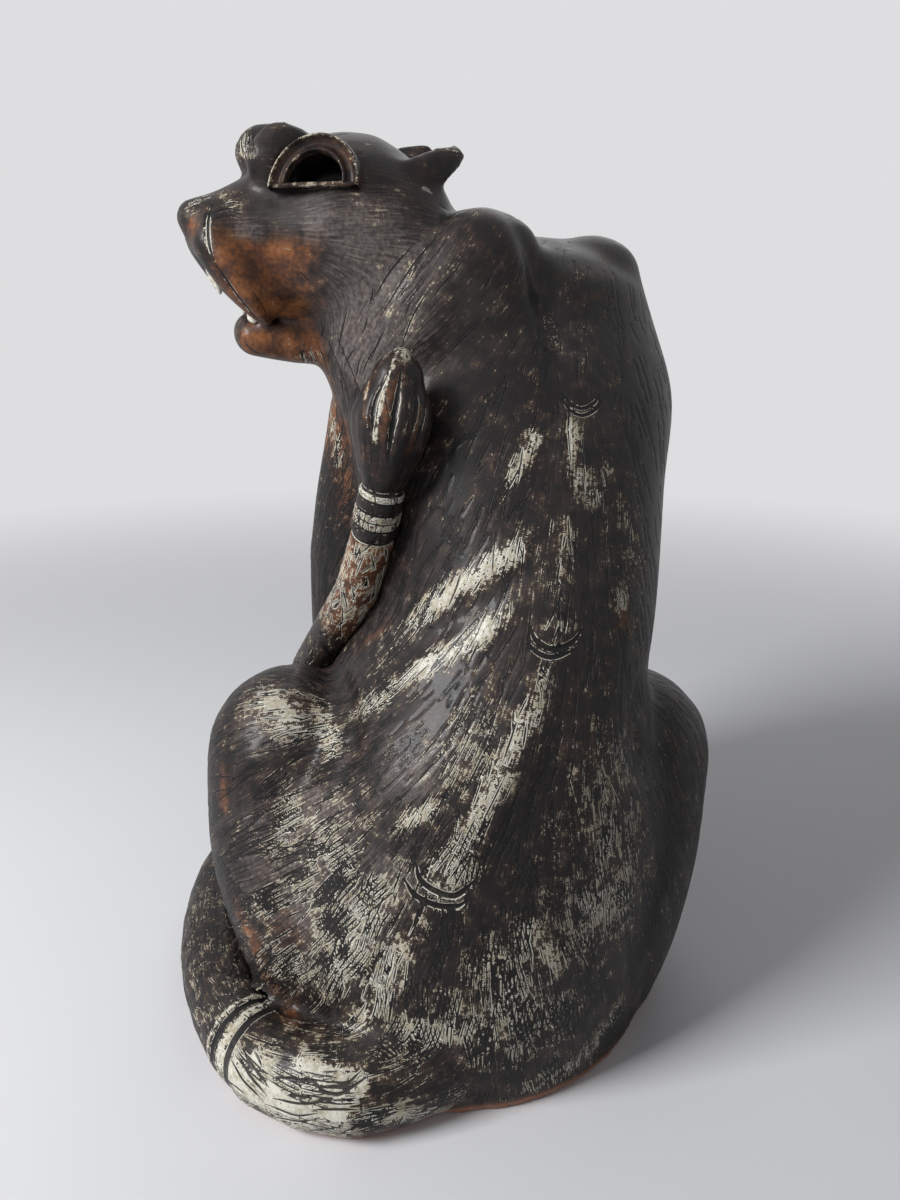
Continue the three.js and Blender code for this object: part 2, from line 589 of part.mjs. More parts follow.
addPiece('tail_tuft', tuft, DARK_SLIP, ['torso_shell', 'shoulder_left', 'foreleg_left', 'tail_rise']);

const grownSolids = {};
function grown(name) {
  grownSolids[name] ??= shapes[name].shape(SEAM);
  return grownSolids[name];
}
const figure = new THREE.Group();
for (const [name, { shape, glaze, seats, cuts }] of Object.entries(shapes)) {
  const tools = [...seats.map(grown), ...cuts.map((cut) => cut())];
  const solid = tools.reduce((left, tool) => left.subtract(tool), shape(0));
  const mesh = new THREE.Mesh(geometryOf(solid), new THREE.MeshStandardMaterial(glaze));
  mesh.name = name;
  figure.add(mesh);
}

// The origin is on the floor, under the middle of the figure's box
const box = new THREE.Box3().setFromObject(figure);
const boxMiddle = box.getCenter(vec(0, 0, 0));
figure.position.set(-boxMiddle.x, -boxMiddle.y, -box.min.z);

export default figure;
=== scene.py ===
"""Looks of a seated big cat ornament in glazed stoneware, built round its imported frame, in metres."""

import logging
import math
from contextlib import contextmanager
from dataclasses import dataclass, field
from enum import Enum
from typing import Any, Iterator, Sequence

import bmesh
import bpy
import numpy as np
from mathutils import Matrix, Vector
from mathutils.bvhtree import BVHTree
from mathutils.kdtree import KDTree


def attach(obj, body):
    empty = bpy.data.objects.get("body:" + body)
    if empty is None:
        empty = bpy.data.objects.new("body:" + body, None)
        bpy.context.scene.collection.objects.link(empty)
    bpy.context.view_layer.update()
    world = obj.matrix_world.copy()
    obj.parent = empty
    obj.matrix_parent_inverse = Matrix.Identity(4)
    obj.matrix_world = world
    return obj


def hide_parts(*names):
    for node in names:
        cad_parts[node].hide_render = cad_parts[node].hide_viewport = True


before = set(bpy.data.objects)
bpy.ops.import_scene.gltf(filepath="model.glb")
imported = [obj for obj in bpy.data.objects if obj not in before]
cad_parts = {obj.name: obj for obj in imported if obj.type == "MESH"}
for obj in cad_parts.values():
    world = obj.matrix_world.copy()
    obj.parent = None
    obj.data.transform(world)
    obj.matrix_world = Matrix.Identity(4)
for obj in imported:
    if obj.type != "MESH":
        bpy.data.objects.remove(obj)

LOG = logging.getLogger("cat_ornament")
MM = 0.001
TINY = 1e-12
FINER = ("SUBSURF", {"levels": 1, "render_levels": 1})
Array, Mesh, Thing, Material = (
    np.ndarray, bpy.types.Mesh, bpy.types.Object, bpy.types.Material
)
Pixel = tuple[float, float]


class Paint(Enum):
    """The painted layers that the skin carries from point to point."""

    CREAM = "cream"
    AMBER = "amber"
    CLAY = "clay"
    # Slip tone: paler slip where positive, partly painted light; darker slip where negative, partly painted shade
    ASH = "ash"


class Sock:
    """One value, colour or vector on its way through a material."""

    def __init__(self, book: "NodeBook", link: Any) -> None:
        """Keep the node book and the output socket."""
        self.book = book
        self.link = link

    def _math(self, operation: str, first: Any, second: Any) -> "Sock":
        """Add one Math node for two values or sockets."""
        return self.book.node("ShaderNodeMath", {"operation": operation}, {0: first, 1: second})

    def __add__(self, other: Any) -> "Sock":
        """Sum."""
        return self._math("ADD", self, other)

    __radd__ = __add__

    def __sub__(self, other: Any) -> "Sock":
        """Difference."""
        return self._math("SUBTRACT", self, other)

    def __rsub__(self, other: Any) -> "Sock":
        """Difference from a number."""
        return self._math("SUBTRACT", other, self)

    def __mul__(self, other: Any) -> "Sock":
        """Product."""
        return self._math("MULTIPLY", self, other)

    __rmul__ = __mul__


class NodeBook:
    """The node tree of one material or of the world."""

    def __init__(self, owner: Any) -> None:
        """Start an empty tree.

        Args:
            owner: a material or a world.
        """
        self.owner = owner
        owner.use_nodes = True
        self.tree = owner.node_tree
        self.tree.nodes.clear()

    def node(self, kind: str, settings: dict | None = None, values: dict | None = None, output: Any = 0) -> Sock:
        """Add a node.

        Args:
            kind: the node's type.
            settings: its properties, set first.
            values: values or sockets by input name or index.
            output: name or index of the output that is returned.

        Returns:
            The chosen output.
        """
        made = self.tree.nodes.new(kind)
        for key, value in (settings or {}).items():
            setattr(made, key, value)
        for key, value in (values or {}).items():
            if isinstance(value, Sock):
                self.tree.links.new(value.link, made.inputs[key])
            else:
                made.inputs[key].default_value = value
        return Sock(self, made.outputs[output] if made.outputs else None)

    def layer(self, name: str, output: str = "Fac") -> Sock:
        """A layer that the skin carries."""
        return self.node("ShaderNodeAttribute", {"attribute_name": name}, None, output)

    def place(self) -> Sock:
        """The point on the object."""
        return self.node("ShaderNodeTexCoord", None, None, "Object")

    def step(self, value: Sock, low: float, high: float) -> Sock:
        """A soft step from 0 at low to 1 at high."""
        values = {"Value": value, "From Min": low, "From Max": high}
        return self.node("ShaderNodeMapRange", {"interpolation_type": "SMOOTHSTEP"}, values)

    def mix(self, factor: Any, first: Any, second: Any) -> Sock:
        """Blend two colours by a factor."""
        return self.node("ShaderNodeMix", {"data_type": "RGBA"}, {0: factor, 6: first, 7: second}, 2)

    def noise(self, place: Sock, scale: float, detail: float) -> Sock:
        """Cloudy noise at a scale per metre."""
        return self.node("ShaderNodeTexNoise", None, {"Vector": place, "Scale": scale, "Detail": detail})


def linear(*levels: int) -> tuple[float, ...]:
    """A display colour of 0 to 255 as the linear colour that a shader takes."""
    shares = (level / 255 for level in levels)
    return (*(s / 12.92 if s <= 0.04045 else ((s + 0.055) / 1.055) ** 2.4 for s in shares), 1.0)


@dataclass(frozen=True)
class Grain:
    """How far each noise shifts a layer of the glaze, and between which values the layer fades in."""

    streak: float = 0.0
    cloud: float = 0.0
    mottle: float = 0.0
    fine: float = 0.0
    grit: float = 0.0
    fade: tuple = (0.0, 1.0)

    def shift(self, noises: dict[str, Sock]) -> Any:
        """The noises as a value around nothing."""
        return sum((noise - 0.5) * getattr(self, name) for name, noise in noises.items() if getattr(self, name))

    def faded(self, noises: dict[str, Sock], layer: Any = 0.0) -> Sock:
        """How far the layer shows, with its own value added to the noises."""
        value = self.shift(noises) + layer
        return value.book.step(value, *self.fade)


@dataclass(frozen=True)
class CombedGlaze:
    """Iron slip cut with strokes and rubbed through to cream, with amber glaze and bare clay."""

    name: str = "combed_stoneware"
    slip: tuple = linear(46, 41, 40)
    slip_warm: tuple = linear(51, 39, 35)
    slip_deep: tuple = linear(24, 20, 20)
    # Pale slip, partly painted light on the side that faces the light
    ashen: tuple = linear(108, 101, 98)
    ashen_deep: tuple = linear(66, 58, 56)
    worn: tuple = linear(120, 102, 82)
    cream: tuple = linear(212, 210, 198)
    cream_deep: tuple = linear(166, 157, 136)
    amber: tuple = linear(140, 87, 49)
    amber_deep: tuple = linear(76, 49, 37)
    clay: tuple = linear(178, 116, 92)
    line: tuple = linear(15, 13, 13)
    streak_scale: float = 850.0
    streak_step: float = 1.2 * MM
    streak_count: int = 7
    streak_gain: float = 4.5
    scales: tuple = (("cloud", 24.0, 3.0), ("mottle", 115.0, 4.0), ("fine", 430.0, 3.0), ("grit", 1100.0, 2.0))
    lip: float = 0.5
    lip_fade: tuple = (-0.10, 0.25)
    cut_fade: tuple = (-0.10, 0.16)
    end_fade: tuple = (1.2, 1.8)
    broad_fade: tuple = (0.55, 0.85)
    rub: Grain = Grain(streak=0.55, mottle=1.15, fine=1.0, grit=0.6)
    rub_cream: float = 1.05
    rub_lip: tuple = (0.95, 0.05)
    rub_broad: float = 0.50
    bare_fade: tuple = (0.50, 0.57)
    halo_fade: tuple = (0.22, 0.54)
    halo_share: float = 0.40
    warm_grain: Grain = Grain(cloud=1.0, fade=(-0.10, 0.12))
    deep_grain: Grain = Grain(streak=0.12, cloud=0.4, mottle=0.6, fade=(-0.10, 0.10))
    # How far the darker slip marks push the slip towards the deep slip, partly painted shade
    deep_slip_and_shade: float = 0.12
    ashen_grain: Grain = Grain(streak=0.60, fine=1.0, fade=(-0.28, 0.28))
    ash_grain: Grain = Grain(streak=0.45, mottle=0.5, fade=(0.05, 1.0))
    gold_grain: Grain = Grain(mottle=0.6, fine=0.4, fade=(-0.14, 0.18))
    amber_grain: Grain = Grain(mottle=0.35, fine=0.3, fade=(0.15, 0.85))
    chalk_grain: Grain = Grain(mottle=0.5, fine=0.5, fade=(-0.08, 0.14))
    cut_share: float = 0.94
    relief: Grain = Grain(streak=0.15, fine=0.30, grit=0.14)
    relief_bare: float = 0.08
    relief_lip: float = 0.35
    relief_strength: float = 0.6
    relief_height: float = 0.5 * MM
    rough: Grain = Grain(mottle=0.30, fine=0.15)
    rough_level: float = 0.50
    rough_clay: float = 0.35
    specular: float = 0.20
    gloss: float = 0.10
    gloss_rough: float = 0.10

    def noises(self, book: NodeBook) -> dict[str, Sock]:
        """The noises of the glaze by name.

        Args:
            book: the material's nodes.

        Returns:
            Values around one half. The streak is long along the coat and thin across it.
        """
        place, flow = book.place(), book.layer("flow", "Vector")
        total: Any = 0.0
        for index in range(self.streak_count):
            shift = (index - (self.streak_count - 1) / 2) * self.streak_step
            values = {0: flow, 1: (shift,) * 3, 2: place}
            moved = book.node("ShaderNodeVectorMath", {"operation": "MULTIPLY_ADD"}, values)
            total = book.noise(moved, self.streak_scale, 1.0) + total
        streak = (total * (1 / self.streak_count) - 0.5) * self.streak_gain + 0.5
        return {"streak": streak} | {name: book.noise(place, scale, detail) for name, scale, detail in self.scales}

    def strokes(self, book: NodeBook) -> tuple[Sock, Sock, Sock]:
        """Cut strokes, from the distances that the skin carries.

        Args:
            book: the material's nodes.

        Returns:
            How far a point is in a stroke, how far on a stroke's lip, and on the lip of a broad groove.
        """
        parts = book.node("ShaderNodeSeparateXYZ", None, {0: book.layer("stroke", "Vector")}, 0)
        side, away, width = (Sock(book, parts.link.node.outputs[k]) for k in range(3))
        across = book.node("ShaderNodeMath", {"operation": "ABSOLUTE"}, {0: side})
        near = 1 - book.step(away - width, *self.end_fade)
        inside = book.step(width - across, *self.cut_fade) * near
        edge = book.step(width - across + self.lip, *self.lip_fade) * near - inside
        return inside, edge, edge * book.step(width, *self.broad_fade)

    def material(self) -> Material:
        """Mix the glaze.

        Returns:
            The finished material.
        """
        book = NodeBook(bpy.data.materials.new(self.name))
        grain = self.noises(book)
        inside, edge, broad = self.strokes(book)
        cream, amber, clay, ash = (book.layer(layer.value) for layer in Paint)

        most, least = self.rub_lip
        rubbed = self.rub.shift(grain) + cream * self.rub_cream
        rubbed = rubbed + edge * (cream * most + least) + broad * self.rub_broad
        bare = book.step(rubbed, *self.bare_fade)
        halo = book.step(rubbed, *self.halo_fade)
        slip = book.mix(self.warm_grain.faded(grain), self.slip_warm, self.slip)
        # The slip tone layer darkens towards the deep slip, partly painted shade, and lightens towards the pale slip,
        # partly painted light
        slip = book.mix(self.deep_grain.faded(grain, ash * self.deep_slip_and_shade), self.slip_deep, slip)
        pale = book.mix(self.ashen_grain.faded(grain), self.ashen_deep, self.ashen)
        slip = book.mix(self.ash_grain.faded(grain, ash), slip, pale)
        gold = book.mix(self.gold_grain.faded(grain), self.amber_deep, self.amber)
        coat = book.mix(self.amber_grain.faded(grain, amber), slip, gold)
        coat = book.mix(halo * self.halo_share, coat, self.worn)
        coat = book.mix(bare, coat, book.mix(self.chalk_grain.faded(grain), self.cream, self.cream_deep))
        # Cuts get the dark line colour; the eye hollows, marked the same way, get it as painted shade
        coat = book.mix(inside * self.cut_share, coat, self.line)
        coat = book.mix(clay, coat, book.mix(grain["mottle"], self.clay, self.worn))

        height = self.relief.shift(grain) + bare * self.relief_bare - inside + edge * self.relief_lip
        values = {"Height": height, "Strength": self.relief_strength, "Distance": self.relief_height}
        bump = book.node("ShaderNodeBump", None, values)
        rough = self.rough.shift(grain) + clay * self.rough_clay + self.rough_level
        values = {"Base Color": coat, "Roughness": rough, "Normal": bump, "Specular IOR Level": self.specular}
        values |= {"Coat Weight": self.gloss, "Coat Roughness": self.gloss_rough}
        surface = book.node("ShaderNodeBsdfPrincipled", None, values)
        book.node("ShaderNodeOutputMaterial", None, {"Surface": surface})
        return book.owner


@dataclass(frozen=True)
class PhotoView:
    """The camera that the photograph was taken with, and its pixels."""

    place: tuple = (0.01018, -0.56256, 0.408)
    down: float = 16.9
    focal: float = 901.0
    wide: int = 900
    tall: int = 1200
    sensor: float = 36.0

    def turn(self) -> Matrix:
        """The camera's rotation."""
        return Matrix.Rotation(math.radians(90 - self.down), 4, "X")

    def ray(self, pixel: Pixel) -> Vector:
        """The direction from the camera through a pixel of the photograph."""
        x, y = pixel
        return (self.turn().to_3x3() @ Vector((x - self.wide / 2, self.tall / 2 - y, -self.focal))).normalized()

    def build(self) -> None:
        """Make the scene's camera."""
        data = bpy.data.cameras.new("photo_camera")
        data.sensor_width = self.sensor
        data.lens = self.sensor * self.focal / self.tall
        camera = new_object("photo_camera", data)
        camera.matrix_world = Matrix.Translation(self.place) @ self.turn()
        bpy.context.scene.camera = camera


VIEW = PhotoView()


def new_object(name: str, data: Any) -> Thing:
    """Link a mesh, a camera or a lamp into the scene as an object at the origin.

    Args:
        name: the object's name.
        data: what it shows.

    Returns:
        The object.
    """
    made = bpy.data.objects.new(name, data)
    bpy.context.scene.collection.objects.link(made)
    return made


@contextmanager
def shaping(mesh: Mesh) -> Iterator[bmesh.types.BMesh]:
    """Open a mesh for bmesh operators and write it back at the end.

    Args:
        mesh: the mesh.

    Yields:
        The mesh's shape.
    """
    shape = bmesh.new()
    shape.from_mesh(mesh)
    yield shape
    shape.to_mesh(mesh)
    shape.free()


def finish_with(thing: Thing, *modifiers: tuple[str, dict]) -> None:
    """Apply modifiers to an object's mesh.

    Args:
        thing: the object.
        modifiers: the type and the settings of each.
    """
    for kind, settings in modifiers:
        made = thing.modifiers.new(kind.lower(), kind)
        for key, value in settings.items():
            setattr(made, key, value)
    held = bpy.context.evaluated_depsgraph_get()
    thing.data = bpy.data.meshes.new_from_object(thing.evaluated_get(held))
    thing.modifiers.clear()


def rows(items: Any, name: str, wide: int = 1, kind: type = np.int32) -> Array:
    """Read a property of all points, edges or faces of a mesh.

    Args:
        items: the points, edges, faces or values.
        name: the property.
        wide: how many numbers it has.
        kind: their type.

    Returns:
        A row for each item, or a number where the property is one.
    """
    out = np.empty(len(items) * wide, kind)
    items.foreach_get(name, out)
    return out.reshape(-1, wide) if wide > 1 else out


def points_of(mesh: Mesh) -> Array:
    """A mesh's points, one row each."""
    return rows(mesh.vertices, "co", 3, np.float32).astype(float)


def normals_of(mesh: Mesh) -> Array:
    """A mesh's point normals, one row each."""
    return rows(mesh.vertex_normals, "vector", 3, np.float32).astype(float)


def edges_of(mesh: Mesh) -> Array:
    """A mesh's edges as pairs of point indices."""
    return rows(mesh.edges, "vertices", 2)


def set_points(mesh: Mesh, points: Array) -> None:
    """Move a mesh's points."""
    mesh.vertices.foreach_set("co", points.astype(np.float32).ravel())
    mesh.update()


def set_smooth(mesh: Mesh) -> None:
    """Shade a mesh smooth."""
    mesh.polygons.foreach_set("use_smooth", np.ones(len(mesh.polygons), bool))


def write_layer(mesh: Mesh, name: str, values: Array) -> None:
    """Store one value or vector for each point of a mesh.

    Args:
        mesh: the mesh.
        name: the layer.
        values: its values or rows.
    """
    kind, part = ("FLOAT_VECTOR", "vector") if values.ndim == 2 else ("FLOAT", "value")
    layer = mesh.attributes.get(name) or mesh.attributes.new(name, kind, "POINT")
    layer.data.foreach_set(part, values.astype(np.float32).ravel())


def tree_of(points: Array) -> KDTree:
    """A tree that finds the nearest of some points.

    Args:
        points: the points, one row each.

    Returns:
        The tree.
    """
    tree = KDTree(len(points))
    for index, place in enumerate(points):
        tree.insert(place, index)
    tree.balance()
    return tree


def nearest(tree: KDTree, points: Array) -> Array:
    """Which of a tree's points is nearest to each point."""
    return np.array([tree.find(point)[1] for point in points])


def unit(vectors: Array) -> Array:
    """Rows scaled to length one."""
    return vectors / np.maximum(np.linalg.norm(vectors, axis=1, keepdims=True), TINY)


def flat(vectors: Array, normals: Array) -> Array:
    """Rows without the part that stands on the skin."""
    return vectors - normals * (vectors * normals).sum(1)[:, None]


def soft_step(value: Array, low: float, high: float) -> Array:
    """A soft step from 0 at low to 1 at high."""
    share = np.clip((value - low) / (high - low), 0.0, 1.0)
    return share * share * (3 - 2 * share)


def bands(value: Array, *edges: tuple) -> Array:
    """1 inside bands, 0 outside: each fades in between two values and out between two more."""
    return sum(soft_step(value, a, b) * (1 - soft_step(value, c, d)) for a, b, c, d in edges)


class Neighbours:
    """Which points of a mesh touch, for smoothing values over its surface."""

    def __init__(self, edges: Array, count: int) -> None:
        """Keep both ends of every edge.

        Args:
            edges: pairs of point indices.
            count: how many points there are.
        """
        self.ends = np.concatenate([edges[:, 0], edges[:, 1]])
        self.others = np.concatenate([edges[:, 1], edges[:, 0]])
        self.count = count
        self.valence = np.maximum(np.bincount(self.ends, minlength=count), 1)

    def mean(self, values: Array) -> Array:
        """The mean of each point's neighbours.

        Args:
            values: a value or a row for each point.

        Returns:
            The means, in the same form.
        """
        columns = values.reshape(self.count, -1)[self.others].T
        sums = [np.bincount(self.ends, weights=column, minlength=self.count) for column in columns]
        return (np.stack(sums, 1) / self.valence[:, None]).reshape(values.shape)

    def smooth(self, values: Array, rounds: int) -> Array:
        """Values after a number of half steps to the neighbours' mean.

        Args:
            values: a value or a row for each point.
            rounds: how many steps.

        Returns:
            The values, in the same form.
        """
        for _ in range(rounds):
            values = (values + self.mean(values)) / 2
        return values

    def groups(self, keep: Array) -> Array:
        """Number the connected regions of the kept points.

        Args:
            keep: which points count.

        Returns:
            A region number for each point, the lowest point index in it.
        """
        both = keep[self.ends] & keep[self.others]
        ends, others = self.ends[both], self.others[both]
        marks = np.arange(self.count)
        while True:
            before = marks.copy()
            np.minimum.at(marks, ends, marks[others])
            marks = marks[marks]
            if (marks == before).all():
                return marks


class Clay(Enum):
    """How firmly a piece keeps its own form when it is luted to the rest."""

    BODY = 44
    SHOULDER = 30
    LIMB = 18
    PAW = 7
    SKULL = 15
    BROW = 40
    LIP = 13
    FACE = 5
    TAIL = 9

    @classmethod
    def of(cls, node: str) -> "Clay":
        """The firmness of a CAD node's piece."""
        table = {
            "torso": cls.BODY, "thigh": cls.BODY, "shoulder": cls.SHOULDER, "foreleg": cls.LIMB, "head": cls.SKULL,
            "forepaw": cls.PAW, "hind_paw": cls.PAW, "brow": cls.BROW, "lower_jaw": cls.LIP, "tail": cls.TAIL,
            "whisker": cls.LIP,
        }
        return next((clay for start, clay in table.items() if node.startswith(start)), cls.FACE)


@dataclass
class ClaySkin:
    """Luted clay pieces as one flowing skin."""

    title: str
    nodes: list
    voxel: float = 2.5 * MM
    overlap: float = 0.25 * MM
    doubles: float = 0.01 * MM
    sample_area: float = 7.0 * MM * MM
    inner_keep: float = 0.05
    hollow_foot: float = 1.2 * MM
    ground: float = 0.8 * MM
    vote_rounds: int = 6
    blend_rounds: int = 8
    swell_rounds: int = 40
    seed: int = 4
    cuts: dict = field(default_factory=dict)

    def merged(self, name: str) -> Mesh:
        """A copy of a CAD node's mesh, cut where the skin ends and swollen by the overlap.

        Args:
            name: the node.

        Returns:
            The copy, with its doubles merged.
        """
        mesh = bpy.data.meshes.new(name + "_copy")
        with shaping(mesh) as shape:
            shape.from_mesh(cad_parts[name].data)
            bmesh.ops.remove_doubles(shape, verts=shape.verts, dist=self.doubles)
            if name in self.cuts:
                place, way = self.cuts[name]
                whole = [*shape.verts, *shape.edges, *shape.faces]
                bmesh.ops.bisect_plane(shape, geom=whole, plane_co=place, plane_no=way, clear_outer=True)
                bmesh.ops.holes_fill(shape, edges=[edge for edge in shape.edges if edge.is_boundary])
            shape.normal_update()
            for point in shape.verts:
                point.co += point.normal * self.overlap
        return mesh

    def fuse(self) -> Thing:
        """Join the pieces.

        Returns:
            One closed skin.
        """
        mesh = bpy.data.meshes.new(self.title)
        with shaping(mesh) as whole:
            for name in self.nodes:
                whole.from_mesh(self.merged(name))
        thing = new_object(self.title, mesh)
        finish_with(thing, ("REMESH", {"mode": "VOXEL", "voxel_size": self.voxel}))
        return thing

    def hollow(self, mesh: Mesh) -> Array:
        """Find the skin inside the hollow.

        Args:
            mesh: the fused skin.

        Returns:
            For each point 1 inside the hollow, 0 outside and -1 in a closed bubble.
        """
        points = points_of(mesh)
        raised = points[:, 2] > self.hollow_foot
        marks = Neighbours(edges_of(mesh), len(points)).groups(raised)
        found, sizes = np.unique(marks[raised], return_counts=True)
        order = found[np.argsort(-sizes)]
        out = np.where(raised, -1, 0)
        for inside, mark in enumerate(order[:2]):
            out[marks == mark] = inside
        return out

    def thin_inside(self, thing: Thing) -> None:
        """Leave only a few faces inside the hollow, where nothing is combed.

        Args:
            thing: the fused skin.
        """
        inside = self.hollow(thing.data)
        if not (inside == 1).any():
            return
        with shaping(thing.data) as shape:
            shape.verts.ensure_lookup_table()
            bubble = [shape.verts[i] for i in np.flatnonzero(inside < 0)]
            bmesh.ops.delete(shape, geom=bubble, context="VERTS")
        inside = inside[inside >= 0]
        group = thing.vertex_groups.new(name="inside")
        group.add(np.flatnonzero(inside == 1).tolist(), 1.0, "REPLACE")
        ratio = 1 - (inside == 1).mean() * (1 - self.inner_keep)
        finish_with(thing, ("DECIMATE", {"ratio": ratio, "vertex_group": group.name}))
        thing.vertex_groups.clear()

    def samples(self) -> tuple[Array, Array]:
        """Points all over the CAD nodes.

        Returns:
            The points, and the index of each one's node.
        """
        random = np.random.default_rng(self.seed)
        places, owners = [], []
        for index, name in enumerate(self.nodes):
            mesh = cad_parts[name].data
            mesh.calc_loop_triangles()
            a, b, c = points_of(mesh)[rows(mesh.loop_triangles, "vertices", 3).T]
            area = np.linalg.norm(np.cross(b - a, c - a), axis=1) / 2
            pick = np.repeat(np.arange(len(area)), 1 + (area / self.sample_area).astype(int))
            u, v = random.random((2, len(pick)))
            over = u + v > 1
            u, v = np.where(over, 1 - u, u)[:, None], np.where(over, 1 - v, v)[:, None]
            places.append(a[pick] + (b - a)[pick] * u + (c - a)[pick] * v)
            owners.append(np.full(len(pick), index))
        return np.concatenate(places), np.concatenate(owners)

    def owners(self, points: Array, near: Neighbours) -> Array:
        """Which node each point of the skin belongs to.

        Args:
            points: the skin's points.
            near: their neighbours.

        Returns:
            The node's index for each point.
        """
        places, owners = self.samples()
        votes = np.eye(len(self.nodes), dtype=np.float32)[owners[nearest(tree_of(places), points)]]
        return near.smooth(votes, self.vote_rounds).argmax(1)

    def relax(self, points: Array, normals: Array, owner: Array, near: Neighbours) -> Array:
        """Smooth the pieces into each other and keep their volume.

        Args:
            points: the skin's points.
            normals: their normals.
            owner: their nodes.
            near: their neighbours.

        Returns:
            The points after smoothing.
        """
        table = np.array([Clay.of(name).value for name in self.nodes], float)
        rounds = near.smooth(table[owner], self.blend_rounds)
        ground = points[:, 2] < self.ground
        moved = points.copy()
        for step in range(int(rounds.max()) + 1):
            share = 0.5 * np.clip(rounds - step, 0, 1)[:, None]
            moved += (near.mean(moved) - moved) * share
            moved[ground, 2] = points[ground, 2]
        lost = ((points - moved) * normals).sum(1)
        moved += normals * near.smooth(lost, self.swell_rounds)[:, None]
        moved[ground, 2] = points[ground, 2]
        return moved

    def build(self) -> tuple[Thing, Array]:
        """Make the skin.

        Returns:
            The skin's object, and the node of each of its points.
        """
        thing = self.fuse()
        LOG.info("fused skin: %d points", len(thing.data.vertices))
        self.thin_inside(thing)
        points = points_of(thing.data)
        near = Neighbours(edges_of(thing.data), len(points))
        owner = self.owners(points, near)
        set_points(thing.data, self.relax(points, normals_of(thing.data), owner, near))
        LOG.info("relaxed skin: %d points", len(points))
        return thing, owner


def curve(corners: Array, gap: float) -> list[tuple]:
    """A smooth curve through corners.

    Args:
        corners: the corners, one row each.
        gap: the distance between the curve's points.

    Returns:
        The curve's points.
    """
    padded = np.concatenate([[2 * corners[0] - corners[1]], corners, [2 * corners[-1] - corners[-2]]])
    out = []
    for a, b, c, d in zip(padded, padded[1:], padded[2:], padded[3:]):
        parts = max(1, round(float(np.linalg.norm(c - b)) / gap))
        for share in np.arange(parts) / parts:
            bend = 2 * b + (c - a) * share + (2 * a - 5 * b + 4 * c - d) * share**2
            out.append(tuple((bend + (3 * b - a - 3 * c + d) * share**3) / 2))
    return [*out, tuple(corners[-1])]


class Surface:
    """The skin as a thing that pencil lines of the photograph can be laid on."""

    def __init__(self, mesh: Mesh) -> None:
        """Keep the skin's points, normals and a tree of its faces.

        Args:
            mesh: the skin.
        """
        self.mesh = mesh
        self.points = points_of(mesh)
        self.normals = normals_of(mesh)
        shape = bmesh.new()
        shape.from_mesh(mesh)
        self.tree = BVHTree.FromBMesh(shape)
        shape.free()

    def laid(self, pixels: Sequence[Pixel], gap: float = 5.0) -> tuple[Array, Array]:
        """Lay a line of the photograph on the skin.

        Args:
            pixels: the line's corners in the photograph.
            gap: pixels between the points that are laid.

        Returns:
            The line's points on the skin, and the skin's normals there.
        """
        found, facing = [], []
        for pixel in curve(np.array(pixels, float), gap):
            hit, normal = self.tree.ray_cast(Vector(VIEW.place), VIEW.ray(pixel))[:2]
            if hit is not None:
                found.append(tuple(hit))
                facing.append(tuple(normal))
        return np.array(found), np.array(facing)

    def cavity(self, near: Neighbours, rounds: int) -> Array:
        """How far each point lies below the smoothed skin."""
        return ((near.smooth(self.points, rounds) - self.points) * self.normals).sum(1)


@dataclass
class LineField:
    """How far points are from a line, and where along it they are."""

    index: Array
    away: Array
    along: Array

    @classmethod
    def around(cls, points: Array, line: Array, reach: float) -> "LineField":
        """Measure the points near a line.

        Args:
            points: all points.
            line: the line's points.
            reach: how far from the line a point may be.

        Returns:
            The near points, their distances and their shares of the line's length.
        """
        low, high = line.min(0) - reach, line.max(0) + reach
        index = np.flatnonzero(((points > low) & (points < high)).all(1))
        best = np.full(len(index), np.inf)
        along = np.zeros(len(index))
        near = points[index]
        for number, (start, end) in enumerate(zip(line, line[1:])):
            run = end - start
            share = np.clip(((near - start) @ run) / max(run @ run, TINY), 0, 1)
            away = np.linalg.norm(near - start - share[:, None] * run, axis=1)
            closer = away < best
            best[closer] = away[closer]
            along[closer] = (number + share[closer]) / (len(line) - 1)
        keep = best < reach
        return cls(index[keep], best[keep], along[keep])


@dataclass(frozen=True)
class Brush:
    """One painted or pressed mark, as a line of the photograph."""

    line: tuple
    width: float
    amount: float = 1.0
    taper: float = 0.25
    reach: float = 2.4
    end: float = 0.35

    def weights(self, points: Array, surface: Surface) -> tuple[Array, Array]:
        """Where the mark touches the skin, and how strongly.

        Args:
            points: the skin's points, or their places on the other side of the head.
            surface: the skin that the line is laid on.

        Returns:
            The indices of the touched points, and the strength at each.
        """
        path = surface.laid(self.line)[0]
        if len(path) < 2:
            return np.zeros(0, int), np.zeros(0)
        near = LineField.around(points, path, self.width * self.reach)
        ends = np.clip(np.minimum(near.along, 1 - near.along) / self.taper, 0, 1)
        strength = self.amount * np.exp(-((near.away / self.width) ** 2))
        return near.index, strength * (self.end + (1 - self.end) * ends)


def brushes(*table: tuple, scale: float = 1.0) -> tuple[Brush, ...]:
    """Marks from a table: each one's line, its width in millimetres, its amount and perhaps its taper."""
    return tuple(Brush(line, wide * MM, amount * scale, *taper) for line, wide, amount, *taper in table)


def stamp(
    values: Array, marks: Sequence[Brush], surface: Surface, points: Array | None = None, share: Any = None
) -> Array:
    """Raise values to the strength of marks.

    Args:
        values: a value for each point, which is changed.
        marks: the marks.
        surface: the skin that they are laid on.
        points: the points that they touch, if not the skin's own.
        share: how much of them each point takes, if not all.

    Returns:
        The values.
    """
    share = np.ones(len(values)) if share is None else share
    for mark in marks:
        index, weight = mark.weights(surface.points if points is None else points, surface)
        values[index] = np.maximum(values[index], weight * share[index])
    return values


SPINE = ((589, 262), (588, 330), (580, 405), (568, 520), (555, 640), (530, 720), (500, 790), (440, 890), (385, 990))

